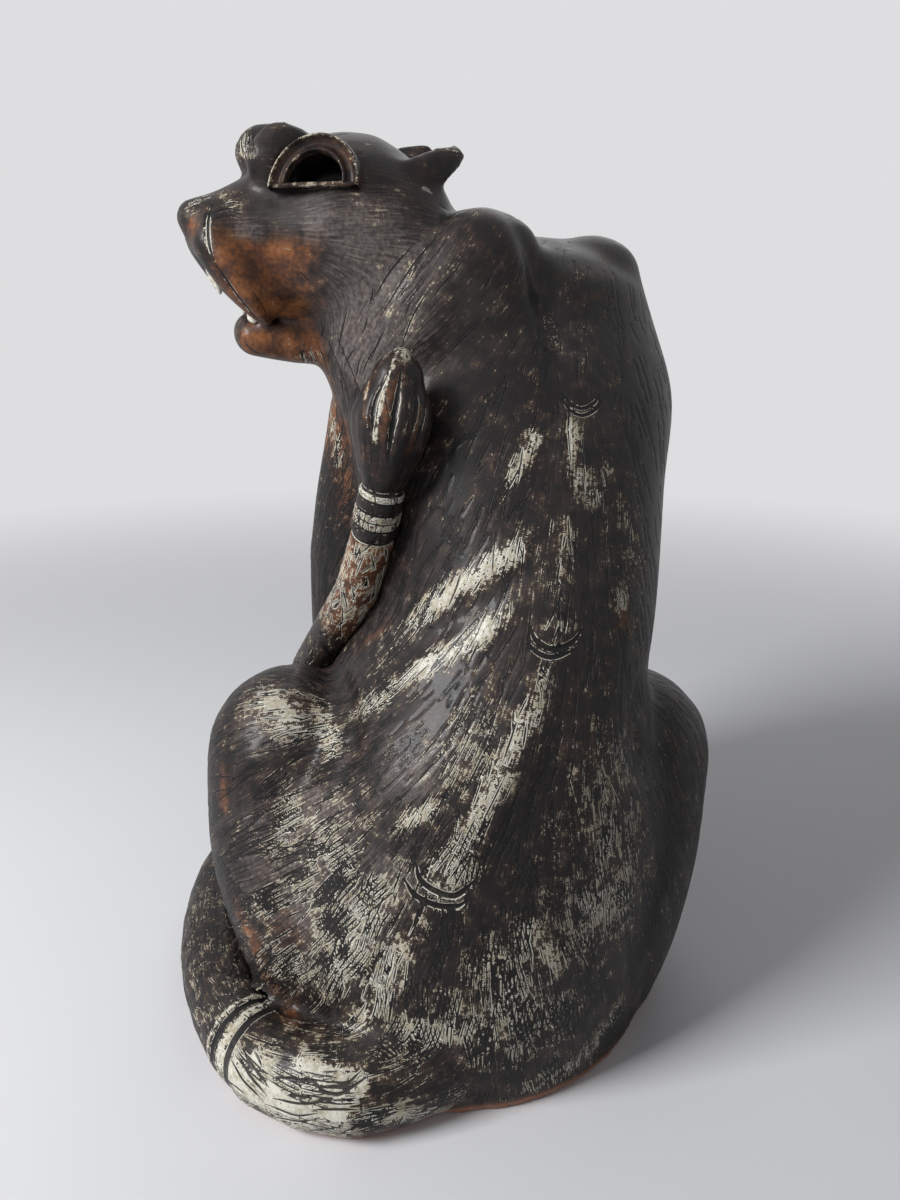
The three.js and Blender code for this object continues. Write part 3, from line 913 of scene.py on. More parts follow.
# Forms that are pressed or raised over a wide stretch: width, then height
PRESSED = brushes(
    (((505, 214), (521, 236), (538, 270), (549, 302), (556, 345), (561, 392)), 9, -6.0),
    (((440, 214), (478, 208), (500, 222), (509, 250), (520, 285)), 20, 3.0),
    (((452, 230), (440, 262), (428, 300), (415, 345)), 17, 12.0),
    (((395, 250), (378, 285), (368, 320)), 18, 3.0),
    (((581, 400), (568, 520), (555, 640), (530, 720), (500, 790), (440, 890)), 12, 2.6),
    (((600, 520), (588, 640), (568, 720), (545, 790), (490, 890)), 15, -2.2),
    (((338, 672), (346, 700), (350, 735), (344, 775)), 9, -4.5),
    (((650, 664), (643, 700), (641, 740), (650, 790)), 13, -5.0),
    (((550, 522), (500, 560), (455, 590), (425, 612), (392, 640)), 8, 1.3),
    (((515, 600), (480, 634), (430, 662), (383, 692)), 8, 1.3),
    (((535, 565), (490, 600), (440, 630), (400, 660)), 6, -1.0),
    (((548, 425), (525, 455), (507, 492)), 7, 1.0),
    (((240, 168), (262, 182), (285, 196), (330, 204)), 6, -1.4),
    (((244, 137), (260, 135), (280, 134), (298, 138)), 13, 7.0, 0.10),
    (((262, 320), (282, 318), (298, 321)), 9, 7.0, 0.10),
    scale=MM,
)
# Joints that the potter smoothed over: width, then how many rounds
MELTED = brushes(
    (((450, 228), (438, 262), (425, 300), (412, 345)), 17, 130),
    (((244, 136), (262, 134), (284, 138), (300, 150)), 17, 150),
    (((262, 322), (282, 319), (300, 324)), 12, 300, 0.10),
    (((320, 1050), (380, 1085), (440, 1100)), 16, 60),
    (((258, 989), (268, 995), (284, 1002)), 8, 90, 0.05),
)
# Grooves that are cut with a tool: half width, then depth as a share of it
GROOVES = brushes(
    (((563, 392), (570, 402), (582, 408), (594, 403), (601, 393)), 1.0, 1.0),
    (((562, 399), (571, 410), (583, 415), (596, 409), (604, 398)), 1.0, 1.0),
    (((531, 628), (536, 640), (553, 649), (572, 643), (582, 630)), 1.5, 1.0),
    (((527, 641), (537, 652), (553, 657), (575, 650)), 1.3, 1.0),
    (((416, 864), (420, 880), (436, 892), (456, 896), (476, 880)), 1.6, 1.0),
    (((405, 881), (415, 896), (436, 906), (456, 907), (467, 901)), 1.6, 1.0),
    (((441, 233), (425, 250), (408, 272), (382, 314)), 0.6, 0.8),
    (((412, 246), (390, 272), (372, 302)), 0.5, 0.7),
    (((428, 290), (412, 318), (402, 345)), 0.5, 0.7),
    (((212, 205), (208, 222), (209, 245), (214, 262)), 0.8, 1.0),
    (((214, 262), (226, 280), (240, 300), (252, 314), (262, 323)), 0.8, 1.0),
    (((242, 134), (241, 145), (243, 155)), 0.6, 1.0),
    (((246, 133), (245, 145), (247, 157)), 0.6, 1.0),
    (((250, 132), (249, 145), (251, 158)), 0.6, 1.0),
    (((254, 132), (253, 144), (255, 156)), 0.6, 1.0),
    (((186, 208), (196, 201), (208, 198)), 0.5, 1.0),
    (((190, 203), (200, 197), (212, 194)), 0.5, 1.0),
    (((195, 198), (205, 192), (217, 189)), 0.5, 1.0),
    (((200, 193), (211, 187), (222, 185)), 0.5, 1.0),
    (((304, 352), (316, 385), (327, 430), (331, 480)), 0.6, 0.8),
    (((310, 348), (324, 387), (335, 436), (339, 492)), 0.5, 0.8),
    (((318, 344), (333, 386), (345, 430), (350, 462)), 0.6, 0.8),
    (((327, 338), (344, 380), (355, 420)), 0.5, 0.8),
    (((336, 336), (351, 370), (362, 398)), 0.5, 0.8),
    (((299, 346), (308, 378), (319, 415), (325, 460)), 0.5, 0.8),
    (((216, 212), (228, 208), (240, 211)), 0.5, 1.0),
    (((215, 219), (227, 215), (238, 217)), 0.5, 1.0),
    (((222, 205), (232, 202), (243, 204)), 0.5, 1.0),
    (((231, 1060), (242, 1080), (261, 1099)), 0.8, 1.0),
    (((239, 1057), (250, 1077), (265, 1094)), 0.9, 1.0),
    (((245, 1056), (255, 1070), (267, 1085)), 0.8, 1.0),
    (((255, 1052), (261, 1065)), 0.7, 1.0),
    (((226, 1080), (245, 1095)), 0.6, 1.0),
    (((316, 1082), (325, 1092), (340, 1094), (352, 1087), (367, 1077)), 0.9, 1.0),
    (((330, 1086), (345, 1085), (360, 1072)), 0.7, 1.0),
    (((277, 1077), (297, 1080), (312, 1081), (320, 1090)), 1.0, 1.0),
    (((275, 1099), (297, 1104), (316, 1104)), 0.7, 1.0),
    (((289, 1095), (316, 1099)), 0.6, 1.0),
    (((316, 1110), (357, 1110)), 0.7, 1.0),
    (((267, 1105), (295, 1116), (316, 1114)), 0.7, 1.0),
    (((272, 1117), (297, 1122), (316, 1120)), 0.7, 1.0),
    (((302, 1132), (325, 1130), (342, 1127)), 0.6, 1.0),
    (((342, 1133), (365, 1125)), 0.6, 1.0),
)
CREAM_MARKS = brushes(
    (((550, 522), (500, 560), (455, 590), (425, 612), (392, 640)), 8.5, 0.62),
    (((515, 600), (480, 634), (430, 662), (383, 692)), 8.0, 0.68),
    (((548, 425), (525, 455), (507, 492)), 7.0, 0.55),
    (((570, 418), (573, 440), (571, 466)), 6.0, 0.55),
    (((572, 466), (588, 486), (600, 508)), 9.0, 0.55),
    (((568, 505), (566, 545), (560, 590)), 6.0, 0.36),
    (((600, 430), (606, 470), (600, 500)), 6.0, 0.36),
    (((535, 618), (560, 626), (580, 616)), 8.0, 0.30),
    (((618, 590), (626, 612)), 6.0, 0.42),
    (((548, 662), (528, 715), (505, 765), (478, 815), (448, 870)), 8.5, 0.52),
    (((470, 850), (440, 885), (425, 905)), 14.0, 0.46),
    (((425, 905), (395, 960), (365, 1015), (330, 1045)), 13.0, 0.44),
    (((252, 690), (285, 715), (290, 745)), 16.0, 0.56),
    (((312, 690), (330, 745), (320, 765)), 10.0, 0.48),
    (((440, 803), (396, 826)), 5.5, 0.55),
    (((410, 868), (375, 900), (350, 945), (330, 1000)), 15.0, 0.46),
    (((300, 770), (290, 820), (275, 870)), 12.0, 0.36),
    (((345, 715), (380, 700), (405, 690)), 9.0, 0.38),
    (((300, 815), (320, 822)), 8.0, 0.42),
    (((600, 880), (590, 900), (640, 905)), 14.0, 0.40),
    (((510, 920), (545, 950), (560, 985)), 9.0, 0.42),
    (((380, 1020), (430, 1035), (500, 1030)), 14.0, 0.40),
    (((600, 690), (615, 790), (605, 900), (570, 1000)), 46.0, 0.27),
    (((470, 930), (520, 1000), (430, 1060)), 44.0, 0.30),
    (((290, 790), (330, 860), (300, 950), (350, 1000)), 44.0, 0.30),
    (((430, 700), (480, 740), (420, 800)), 34.0, 0.26),
    (((400, 640), (360, 690)), 26.0, 0.20),
    (((628, 470), (630, 560), (636, 640)), 17.0, 0.24),
    (((520, 560), (560, 600)), 30.0, 0.16),
    (((360, 230), (400, 290), (430, 400)), 30.0, 0.19),
    (((330, 215), (400, 205)), 14.0, 0.17),
    (((500, 1100), (580, 1060), (630, 990)), 10.0, 0.30),
    (((208, 214), (206, 235), (211, 258)), 2.0, 0.75),
    (((245, 134), (244, 146), (247, 157)), 5.0, 0.50),
    (((200, 200), (225, 196), (240, 210)), 6.0, 0.30),
    (((188, 208), (201, 199), (214, 192)), 6.0, 0.42),
    (((345, 880), (370, 900), (398, 928)), 15.0, 0.20),
    (((262, 722), (280, 742), (298, 765)), 12.0, 0.18),
    (((306, 350), (326, 400), (340, 470)), 9.0, 0.30, 0.05),
    (((420, 187), (434, 193)), 2.0, 0.8),
    (((452, 150), (460, 152)), 4.0, 0.5),
    (((240, 1062), (270, 1095), (310, 1115), (350, 1112)), 15.0, 0.85, 0.05),
    (((290, 1062), (330, 1080), (370, 1085)), 10.0, 0.75, 0.05),
    (((350, 1112), (400, 1118), (460, 1108)), 8.0, 0.50),
    (((222, 1050), (236, 1082), (262, 1112), (300, 1131), (345, 1136)), 13.0, 0.85, 0.05),
)
AMBER_MARKS = brushes(
    (((207, 230), (238, 260), (285, 262), (318, 246)), 13.0, 0.95, 0.34),
    (((215, 258), (250, 297), (290, 306), (312, 282)), 14.0, 0.95, 0.30),
    (((185, 225), (198, 235)), 9.0, 0.6),
    (((240, 335), (265, 348), (300, 345)), 14.0, 0.9, 0.05),
    (((298, 335), (310, 375), (328, 420), (335, 470)), 14.0, 0.82),
    (((296, 318), (310, 338), (322, 372)), 9.0, 0.75, 0.10),
    (((330, 380), (345, 440), (340, 540)), 16.0, 0.48),
    (((230, 890), (252, 940), (270, 978)), 8.0, 0.66),
    (((256, 960), (280, 1000), (300, 1030)), 8.0, 0.58),
    (((270, 900), (300, 960)), 14.0, 0.40),
    (((225, 755), (222, 830)), 7.0, 0.45),
    (((620, 590), (628, 640)), 10.0, 0.40),
    (((350, 660), (400, 610)), 10.0, 0.35),
)
# Where the slip is paler: on the neck, cheek, thigh and knee, partly painted light on the side that faces the light
PALE_SLIP_AND_LIGHT_MARKS = brushes(
    (((340, 225), (385, 255), (365, 320), (350, 380)), 24.0, 0.95, 0.05),
    (((300, 222), (350, 222), (405, 212)), 13.0, 0.75, 0.05),
    (((236, 232), (262, 232)), 8.0, 0.70, 0.05),
    (((400, 300), (410, 345)), 16.0, 0.60, 0.05),
    (((330, 790), (300, 860), (300, 930)), 34.0, 0.85, 0.05),
    (((400, 860), (370, 905), (350, 960)), 20.0, 0.70, 0.05),
    (((262, 690), (290, 745)), 24.0, 0.60, 0.05),
    (((400, 740), (420, 800)), 22.0, 0.60, 0.05),
)
# Where the slip is darker: on the right flank and the back, partly painted shade on the side away from the light
DARK_SLIP_AND_SHADE_MARKS = brushes(
    (((620, 300), (650, 420), (645, 560), (640, 660), (665, 800)), 34.0, 0.9, 0.02),
    (((560, 300), (520, 400), (470, 470), (440, 520)), 22.0, 0.7, 0.05),
    (((545, 790), (520, 860), (500, 900)), 18.0, 0.7, 0.05),
)
# Where long strokes run down the throat
THROAT = Brush(((312, 372), (330, 430), (338, 500), (336, 560)), 24 * MM, 7.0, 0.05)
# The tuft: pale ridges, amber ridges and the furrows between them
TUFT_PALE = brushes(
    (((395, 357), (391, 370), (382, 396), (377, 424), (374, 442)), 1.8, 0.66, 0.02),
    (((409, 372), (411, 396), (406, 426), (401, 450)), 1.3, 0.42),
    (((437, 392), (436, 414), (428, 438)), 1.5, 0.45),
    (((384, 360), (369, 382), (365, 410), (369, 434)), 1.4, 0.50),
)
TUFT_AMBER = brushes(
    (((398, 368), (389, 396), (384, 424), (380, 446)), 4.0, 0.55),
    (((420, 398), (412, 434), (401, 466)), 4.0, 0.45),
    (((437, 392), (436, 414), (428, 438)), 3.0, 0.45),
    (((384, 360), (369, 382), (365, 410), (369, 434)), 3.0, 0.50),
)
TUFT_FURROWS = brushes(
    (((401, 372), (397, 400), (392, 430), (388, 460)), 1.3, 0.9, 0.35),
    (((416, 384), (416, 410), (409, 440)), 1.2, 0.8, 0.35),
    (((386, 378), (375, 402), (372, 432)), 1.0, 0.8, 0.35),
    (((427, 392), (424, 418), (415, 446)), 0.8, 0.8, 0.35),
)


@dataclass(frozen=True)
class HeadPlace:
    """The head's own axes: forward, to the cat's left, up."""

    middle: tuple = (-0.04582, -0.00256, 0.455)
    yaw: float = 200.0
    roll: float = 10.0

    def matrix(self) -> Matrix:
        """From the head's axes to the object's."""
        turn = Matrix.Rotation(math.radians(self.yaw), 4, "Z") @ Matrix.Rotation(math.radians(-self.roll), 4, "X")
        return Matrix.Translation(self.middle) @ turn

    def mirrored(self, points: Array) -> Array:
        """Move points to the other side of the head.

        Args:
            points: the points, one row each.

        Returns:
            Their places there.
        """
        matrix = np.array(self.matrix())
        local = (points - matrix[:3, 3]) @ matrix[:3, :3]
        local[:, 1] *= -1
        return local @ matrix[:3, :3].T + matrix[:3, 3]


HEAD = HeadPlace()


@dataclass
class Strokes:
    """Cut strokes as points along them, each with its sideways direction, half width and depth."""

    reach: float = 2.3 * MM
    spread: float = 0.5 * MM
    gap: float = 1.3
    end: float = 0.3
    unmarked: tuple = (9.0, 9.0, 0.0)
    # A stroke value that paints a point black, used as painted shade in the eye hollows
    shade_black: tuple = (0.0, 0.0, 3.0)
    cuts: list = field(default_factory=list)

    def add(self, place: Array, side: Array, width: float, depth: float) -> None:
        """Add one point of a stroke."""
        self.cuts.append((place, side, width, depth))

    def draw(self, surface: Surface, brush: Brush, mirror: bool = False) -> None:
        """Add a line of the photograph.

        Args:
            surface: the skin.
            brush: the line, its half width and its depth as a share of that.
            mirror: whether it lies on the other side of the head.
        """
        path, facing = surface.laid(brush.line, self.gap)
        if len(path) < 3:
            return
        if mirror:
            found = [surface.tree.find_nearest(Vector(place)) for place in HEAD.mirrored(path)]
            path, facing = (np.array([tuple(hit[k]) for hit in found]) for k in range(2))
        sides = unit(np.cross(facing, np.gradient(path, axis=0)))
        for number, (place, side) in enumerate(zip(path, sides)):
            share = (number + 0.5) / len(path)
            ends = min(1.0, min(share, 1 - share) / brush.taper)
            width = brush.width * (self.end + (1 - self.end) * ends)
            self.add(place, side, width, width * brush.amount)

    def press(self, points: Array) -> tuple[Array, Array]:
        """Press the strokes into a skin.

        Args:
            points: the skin's points.

        Returns:
            For each point its signed distance across the nearest stroke, its distance from it and the stroke's half
            width, in millimetres, and how far the point sinks, in metres.
        """
        layer = np.tile(np.array(self.unmarked), (len(points), 1))
        sink = np.zeros(len(points))
        if not self.cuts:
            return layer, sink
        places, sides, widths, depths = (np.array(values) for values in zip(*self.cuts))
        tree = tree_of(points)
        index, sample = [], []
        for number, place in enumerate(places):
            for _, point, _ in tree.find_range(place, widths[number] + self.reach):
                index.append(point)
                sample.append(number)
        index, sample = np.array(index), np.array(sample)
        away = np.linalg.norm(points[index] - places[sample], axis=1)
        order = np.lexsort((away - widths[sample], index))
        first = order[np.concatenate([[True], np.diff(index[order]) != 0])]
        index, sample, away = index[first], sample[first], away[first]
        across = ((points[index] - places[sample]) * sides[sample]).sum(1)
        layer[index] = np.stack([across, away, widths[sample]], 1) / MM
        sink[index] = depths[sample] * np.exp(-((away / (widths[sample] + self.spread)) ** 2))
        return layer, sink


@dataclass
class Combing:
    """The short strokes that the potter cut all over the skin, along the lie of the coat."""

    count: int = 7000
    spacing: float = 1.0 * MM
    shortest: float = 6.0 * MM
    longest: float = 30.0 * MM
    short_bias: float = 1.7
    thin: float = 0.26 * MM
    thick: float = 0.52 * MM
    depth: float = 0.42 * MM
    lean: float = 8.0
    least_steps: int = 4
    jitter: float = 1.5
    begin: tuple = (6, 0.2)
    finish: tuple = (3, 0.15)
    gang: float = 0.34
    gang_top: float = 0.20
    gang_full: float = 0.4
    gang_gap: float = 2.6 * MM
    gang_teeth: tuple = (3, 6)
    gang_least: float = 0.6
    seed: int = 11

    def cut(self, strokes: Strokes, surface: Surface, flow: Array, chance: Array) -> None:
        """Cut the strokes, some of them side by side with a comb.

        Args:
            strokes: where they are added.
            surface: the skin.
            flow: its directions.
            chance: how likely a stroke starts at each point.
        """
        if not self.count:
            return
        points, normals, tree = surface.points, surface.normals, tree_of(surface.points)
        random = np.random.default_rng(self.seed)
        starts = random.choice(len(points), self.count, p=chance / chance.sum())
        lengths = self.shortest + (self.longest - self.shortest) * random.random(self.count) ** self.short_bias
        widths = self.thin + (self.thick - self.thin) * random.random(self.count)
        lean = np.radians(random.normal(0.0, self.lean, self.count))
        gang = self.gang * (1 - soft_step(points[starts, 2], self.gang_full * self.gang_top, self.gang_top))
        teeth = np.where(random.random(self.count) < gang, random.integers(*self.gang_teeth, self.count), 1)
        for here, length, width, angle, lines in zip(starts, lengths, widths, lean, teeth):
            length = length if lines == 1 else max(length, self.gang_least * self.longest)
            steps = max(self.least_steps, int(length / self.spacing))
            spot = points[here] + (random.random(3) - 0.5) * self.jitter * MM
            for step in range(steps):
                run = flow[here] * math.cos(angle) + np.cross(normals[here], flow[here]) * math.sin(angle)
                spot = spot + run * self.spacing
                here = tree.find(spot)[1]
                spot = spot - normals[here] * ((spot - points[here]) @ normals[here])
                share = (step + 0.5) / steps
                side = np.cross(normals[here], run)
                (rise, low), (fall, last) = self.begin, self.finish
                size = width * min(1.0, share * rise + low, (1 - share) * fall + last)
                for line in range(lines):
                    place = spot + side * self.gang_gap * line
                    under = tree.find(place)[1]
                    place = place - normals[under] * ((place - points[under]) @ normals[under])
                    strokes.add(place, side, size, self.depth)


@dataclass
class Splitter:
    """Parts a fused skin into the pieces that were luted together."""

    names: list
    levels: tuple = ()
    wall: float = 1.5 * MM

    def labels(self, owner: Array, mesh: Mesh) -> tuple[Array, list[str]]:
        """Give every face to one piece.

        Args:
            owner: the node of each point.
            mesh: the skin.

        Returns:
            Each face's piece number, and the pieces' names.
        """
        titles = self.names + [f"torso_shell_{k + 2}" for k in range(len(self.levels))]
        corners = rows(mesh.loops, "vertex_index")[rows(mesh.polygons, "loop_start")]
        label = owner[corners].astype(np.int32)
        heights = points_of(mesh)[corners][:, 2]
        if self.levels:
            torso = label == self.names.index("torso_shell")
            for number, level in enumerate(self.levels):
                label[torso & (heights > level)] = len(self.names) + number
        return label, titles

    def part(self, thing: Thing, titles: list[str]) -> dict[str, Thing]:
        """Part the skin by its faces' piece numbers.

        Args:
            thing: the skin, with a face layer of piece numbers.
            titles: the pieces' names.

        Returns:
            The pieces by name.
        """
        mesh = thing.data
        for _ in titles:
            mesh.materials.append(None)
        mesh.polygons.foreach_set("material_index", rows(mesh.attributes["piece"].data, "value"))
        for other in bpy.context.selected_objects:
            other.select_set(False)
        thing.select_set(True)
        bpy.context.view_layer.objects.active = thing
        bpy.ops.object.mode_set(mode="EDIT")
        bpy.ops.mesh.select_all(action="SELECT")
        bpy.ops.mesh.separate(type="MATERIAL")
        bpy.ops.object.mode_set(mode="OBJECT")
        made = {}
        for piece in list(bpy.context.selected_objects):
            if not piece.data.polygons:
                bpy.data.objects.remove(piece)
                continue
            made[titles[piece.data.attributes["piece"].data[0].value]] = piece
        return made

    def close(self, mesh: Mesh, rest: Array, faces: list) -> Array:
        """Back a piece with a coarse inner wall where it was luted.

        Args:
            mesh: the piece, with a point layer of the coarse skin's point numbers.
            rest: the normals that its points have in the whole skin.
            faces: its faces in the coarse skin.

        Returns:
            The normals with those of the new points.
        """
        numbers = rows(mesh.attributes["corner"].data, "value")
        with shaping(mesh) as shape:
            rim = [point for point in shape.verts if numbers[point.index] < 0 and point.is_boundary]
            outer = {numbers[point.index]: point for point in shape.verts if numbers[point.index] >= 0}
            inner = {}
            if rim:
                for number, point in outer.items():
                    inner[number] = shape.verts.new(point.co - Vector(rest[point.index]) * self.wall)
                for face in faces:
                    shape.faces.new([inner[number] for number in reversed(face)])
            for middle in rim:
                self.rim_face(shape, middle, numbers, inner)
        return np.concatenate([rest, np.zeros((len(mesh.vertices) - len(rest), 3))])

    def rim_face(self, shape: bmesh.types.BMesh, middle: Any, numbers: Array, inner: dict) -> None:
        """Join the outer and the inner wall along one edge of the coarse skin.

        Args:
            shape: the piece.
            middle: the point in the middle of that edge.
            numbers: the coarse skin's point numbers.
            inner: the inner wall's points by those numbers.
        """
        ends = {}
        for edge in middle.link_edges:
            if edge.is_boundary and len(edge.link_faces) == 1:
                loop = edge.link_loops[0]
                ends["after" if loop.vert is middle else "before"] = edge.other_vert(middle)
        if len(ends) == 2:
            before, after = ends["before"], ends["after"]
            back, front = inner[numbers[before.index]], inner[numbers[after.index]]
            shape.faces.new((after, middle, before, back, front))


class Slot(Enum):
    """The record's finishes."""

    DARK = "dark_slip"
    AMBER = "amber_glaze"
    CREAM = "cream_slip"

    @classmethod
    def of(cls, node: str) -> "Slot":
        """The finish of a CAD node.

        Args:
            node: the node's name.

        Returns:
            Its slot.
        """
        if node.startswith(("whisker_pad", "nose_pad", "lower_jaw", "tongue", "tail_rise")):
            return cls.AMBER
        if node.startswith(("eyelid", "upper_fang", "lower_fang", "tail_floor")):
            return cls.CREAM
        return cls.DARK


def set_in_frame(piece: Thing, node: str) -> None:
    """Set a finished piece in the frame in place of its CAD node.

    Args:
        piece: the piece.
        node: the CAD node.
    """
    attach(piece, "root")
    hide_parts(node)
    Slot.of(node).value
    LOG.info("%s: %d faces", piece.name, len(piece.data.polygons))


@dataclass
class DressedSkin:
    """A skin on its way from fused clay to finished pieces."""

    clay: ClaySkin
    combing: Combing
    levels: tuple = ()
    ring_start: float = 0.0
    called: dict = field(default_factory=dict)
    surface: Surface = field(init=False)
    owner: Array = field(init=False)
    near: Neighbours = field(init=False)
    lie: Array = field(init=False)

    def even(self, value: float = 0.0) -> Array:
        """The same value for every point of the coarse skin."""
        return np.full(len(self.surface.points), value)

    def form(self) -> Array:
        """The points of the coarse skin once their form is drawn out."""
        return self.surface.points

    def press(self) -> Array:
        """How far each point of the coarse skin is raised."""
        return self.even()

    def melt(self) -> Array:
        """How many rounds each point of the coarse skin is smoothed over."""
        return self.even()

    def flow(self) -> Array:
        """The lie of the coat at each point."""
        raise NotImplementedError

    def paint(self) -> dict[Paint, Array]:
        """The painted layers of the coarse skin."""
        raise NotImplementedError

    def chance(self) -> Array:
        """How likely a stroke starts at each point."""
        return self.even(1.0)

    def draw(self, strokes: Strokes) -> None:
        """Add the grooves that are drawn one by one."""

    def shade_blacked(self, points: Array) -> Array:
        """Which points are painted black as shade."""
        return np.zeros(len(points), bool)

    def spare(self) -> Array:
        """Which points belong to a part of the skin that another skin shows."""
        return self.even().astype(bool)

    def mask(self, *starts: str) -> Array:
        """Which points belong to nodes whose names start so."""
        return np.array([name.startswith(starts) for name in self.clay.nodes])[self.owner]

    def spread(self, rounds: int, *starts: str) -> Array:
        """The same as a soft share from 0 to 1."""
        return self.near.smooth(self.mask(*starts).astype(float), rounds)

    def formed(self) -> Thing:
        """Fuse the clay and draw out its form.

        Returns:
            The coarse skin.
        """
        thing, self.owner = self.clay.build()
        self.near = Neighbours(edges_of(thing.data), len(self.owner))
        self.surface = Surface(thing.data)
        raised = self.form() + self.surface.normals * self.press()[:, None]
        rounds = self.melt()
        for step in range(int(rounds.max())):
            raised += (self.near.mean(raised) - raised) * (0.5 * np.clip(rounds - step, 0, 1))[:, None]
        raised[:, 2] = np.maximum(raised[:, 2], 0.0)
        set_points(thing.data, raised)
        self.surface = Surface(thing.data)
        return thing

    def build(self, glaze: Material) -> None:
        """Make and dress the pieces.

        Args:
            glaze: their material.
        """
        thing = self.formed()
        self.lie = self.flow()
        write_layer(thing.data, "flow", self.lie)
        for layer, values in self.paint().items():
            write_layer(thing.data, layer.value, values)
        strokes = Strokes()
        self.draw(strokes)
        self.combing.cut(strokes, self.surface, self.lie, self.chance())
        LOG.info("%s: %d points on strokes", self.clay.title, len(strokes.cuts))
        splitter = Splitter([*self.clay.nodes, "spare"], self.levels)
        owner = np.where(self.spare(), len(self.clay.nodes), self.owner)
        label, titles = splitter.labels(owner, thing.data)
        thing.data.attributes.new("piece", "INT", "FACE").data.foreach_set("value", label)
        coarse: dict = {title: [] for title in titles}
        for face, number in zip(thing.data.polygons, label):
            coarse[titles[number]].append(tuple(face.vertices))
        finish_with(thing, FINER)
        numbers = np.arange(len(thing.data.vertices), dtype=np.int32)
        numbers[len(owner):] = -1
        thing.data.attributes.new("corner", "INT", "POINT").data.foreach_set("value", numbers)
        self.engrave(thing.data, strokes)
        pieces = splitter.part(thing, titles)
        if "spare" in pieces:
            bpy.data.objects.remove(pieces.pop("spare"))
        for title in sorted(pieces):
            self.dress(pieces[title], title, glaze, splitter, coarse[title])

    def engrave(self, mesh: Mesh, strokes: Strokes) -> None:
        """Cut the strokes into the fine skin and keep its normals.

        Args:
            mesh: the fine skin.
            strokes: the strokes.
        """
        points, normals = points_of(mesh), normals_of(mesh)
        layer, sink = strokes.press(points)
        points -= normals * sink[:, None]
        points[:, 2] = np.maximum(points[:, 2], 0.0)
        # Paint the eye hollows black as painted shade
        layer[self.shade_blacked(points)] = Strokes.shade_black
        write_layer(mesh, "stroke", layer)
        set_points(mesh, points)
        set_smooth(mesh)
        write_layer(mesh, "rest", normals_of(mesh))

    def dress(
        self, piece: Thing, title: str, glaze: Material, splitter: Splitter, faces: list
    ) -> None:
        """Close one piece, give it its finish and set it in the frame.

        Args:
            piece: the piece.
            title: its name among the skin's pieces.
            glaze: its material.
            splitter: what parted the skin.
            faces: its faces in the coarse skin.
        """
        mesh = piece.data
        piece.name = mesh.name = self.called.get(title, title) + "_skin"
        rest = rows(mesh.attributes["rest"].data, "vector", 3, np.float32).astype(float)
        rest = splitter.close(mesh, rest, faces)
        for layer in ("rest", "piece", "corner"):
            mesh.attributes.remove(mesh.attributes[layer])
        mesh.materials.clear()
        mesh.materials.append(glaze)
        mesh.polygons.foreach_set("material_index", np.zeros(len(mesh.polygons), np.int32))
        mesh.normals_split_custom_set_from_vertices(rest.tolist())
        set_in_frame(piece, "torso_shell" if title.startswith("torso_shell") else title)


@dataclass(frozen=True)
class TailLine:
    """The middle line of the tail in millimetres, from its root along the floor and up to the tip of its tuft."""

    floor: tuple = (
        (0.6, -158.5, 25.2), (-41.9, -176.9, 23.2), (-87.6, -161.0, 21.3), (-119.6, -120.3, 19.3),
        (-141.2, -68.2, 19.3), (-150.7, -13.2, 19.3), (-146.1, 27.6, 25.3),
    )
    rise: tuple = (
        (-122.2, 49.8, 42.2), (-104.3, 48.1, 86.5), (-93.0, 30.9, 135.0), (-79.6, 1.6, 190.0),
        (-43.8, -54.6, 260.0), (-25.3, -85.6, 327.0),
    )
    tip: tuple = (-14.8, -88.6, 392.0)
    thickest: float = 31.0 * MM
    step: float = 4.0 * MM
    ring_points: int = 160

    def points(self) -> Array:
        """The line's points in metres, a smooth curve through the named ones."""
        return np.array(curve(np.array([*self.floor, *self.rise, self.tip]) * MM, self.step))

    def ways(self) -> Array:
        """The line's directions at its points."""
        return unit(np.gradient(self.points(), axis=0))

    def lengths(self) -> Array:
        """Measure along the line.

        Returns:
            How far below the neck of the tuft each of its points is.
        """
        line = self.points()
        run = np.concatenate([[0], np.cumsum(np.linalg.norm(np.diff(line, axis=0), axis=1))])
        neck = np.linalg.norm(line - np.array(self.rise[-1]) * MM, axis=1).argmin()
        return run[neck] - run

    def measure(self, points: Array) -> tuple[Array, Array]:
        """Find points' places along the line.

        Args:
            points: the points, one row each.

        Returns:
            How far each is below the neck of the tuft, in metres, and the line's direction there.
        """
        line = self.points()
        closest = nearest(tree_of(line), points)
        ways = self.ways()[closest]
        return self.lengths()[closest] - ((points - line[closest]) * ways).sum(1), ways

    def at(self, below: float) -> tuple[Vector, Vector]:
        """Find a place on the line.

        Args:
            below: its distance below the neck.

        Returns:
            The place, and the line's direction there.
        """
        runs = -self.lengths()
        place, way = ([np.interp(-below, runs, of[:, k]) for k in range(3)] for of in (self.points(), self.ways()))
        return Vector(place), Vector(way).normalized()

    def on_axis(self, rise: float) -> Array:
        """The tuft's axis at a height above its neck."""
        neck, tip = np.array(self.rise[-1]) * MM, np.array(self.tip) * MM
        return neck + (tip - neck) * (rise / np.linalg.norm(tip - neck))

    def ring(self, strokes: Strokes, surface: Surface, below: float, width: float, depth: float) -> None:
        """Cut a ring round the tail.

        Args:
            strokes: where it is added.
            surface: the skin.
            below: its distance below the neck.
            width: its half width.
            depth: its depth.
        """
        middle, way = self.at(below)
        out = way.orthogonal().normalized()
        for step in range(self.ring_points):
            ray = Matrix.Rotation(math.tau * step / self.ring_points, 3, way) @ out
            hit, _, _, far = surface.tree.ray_cast(middle, ray)
            if hit is not None and far < self.thickest:
                strokes.add(np.array(hit), np.array(way), width, depth)


TAIL = TailLine()


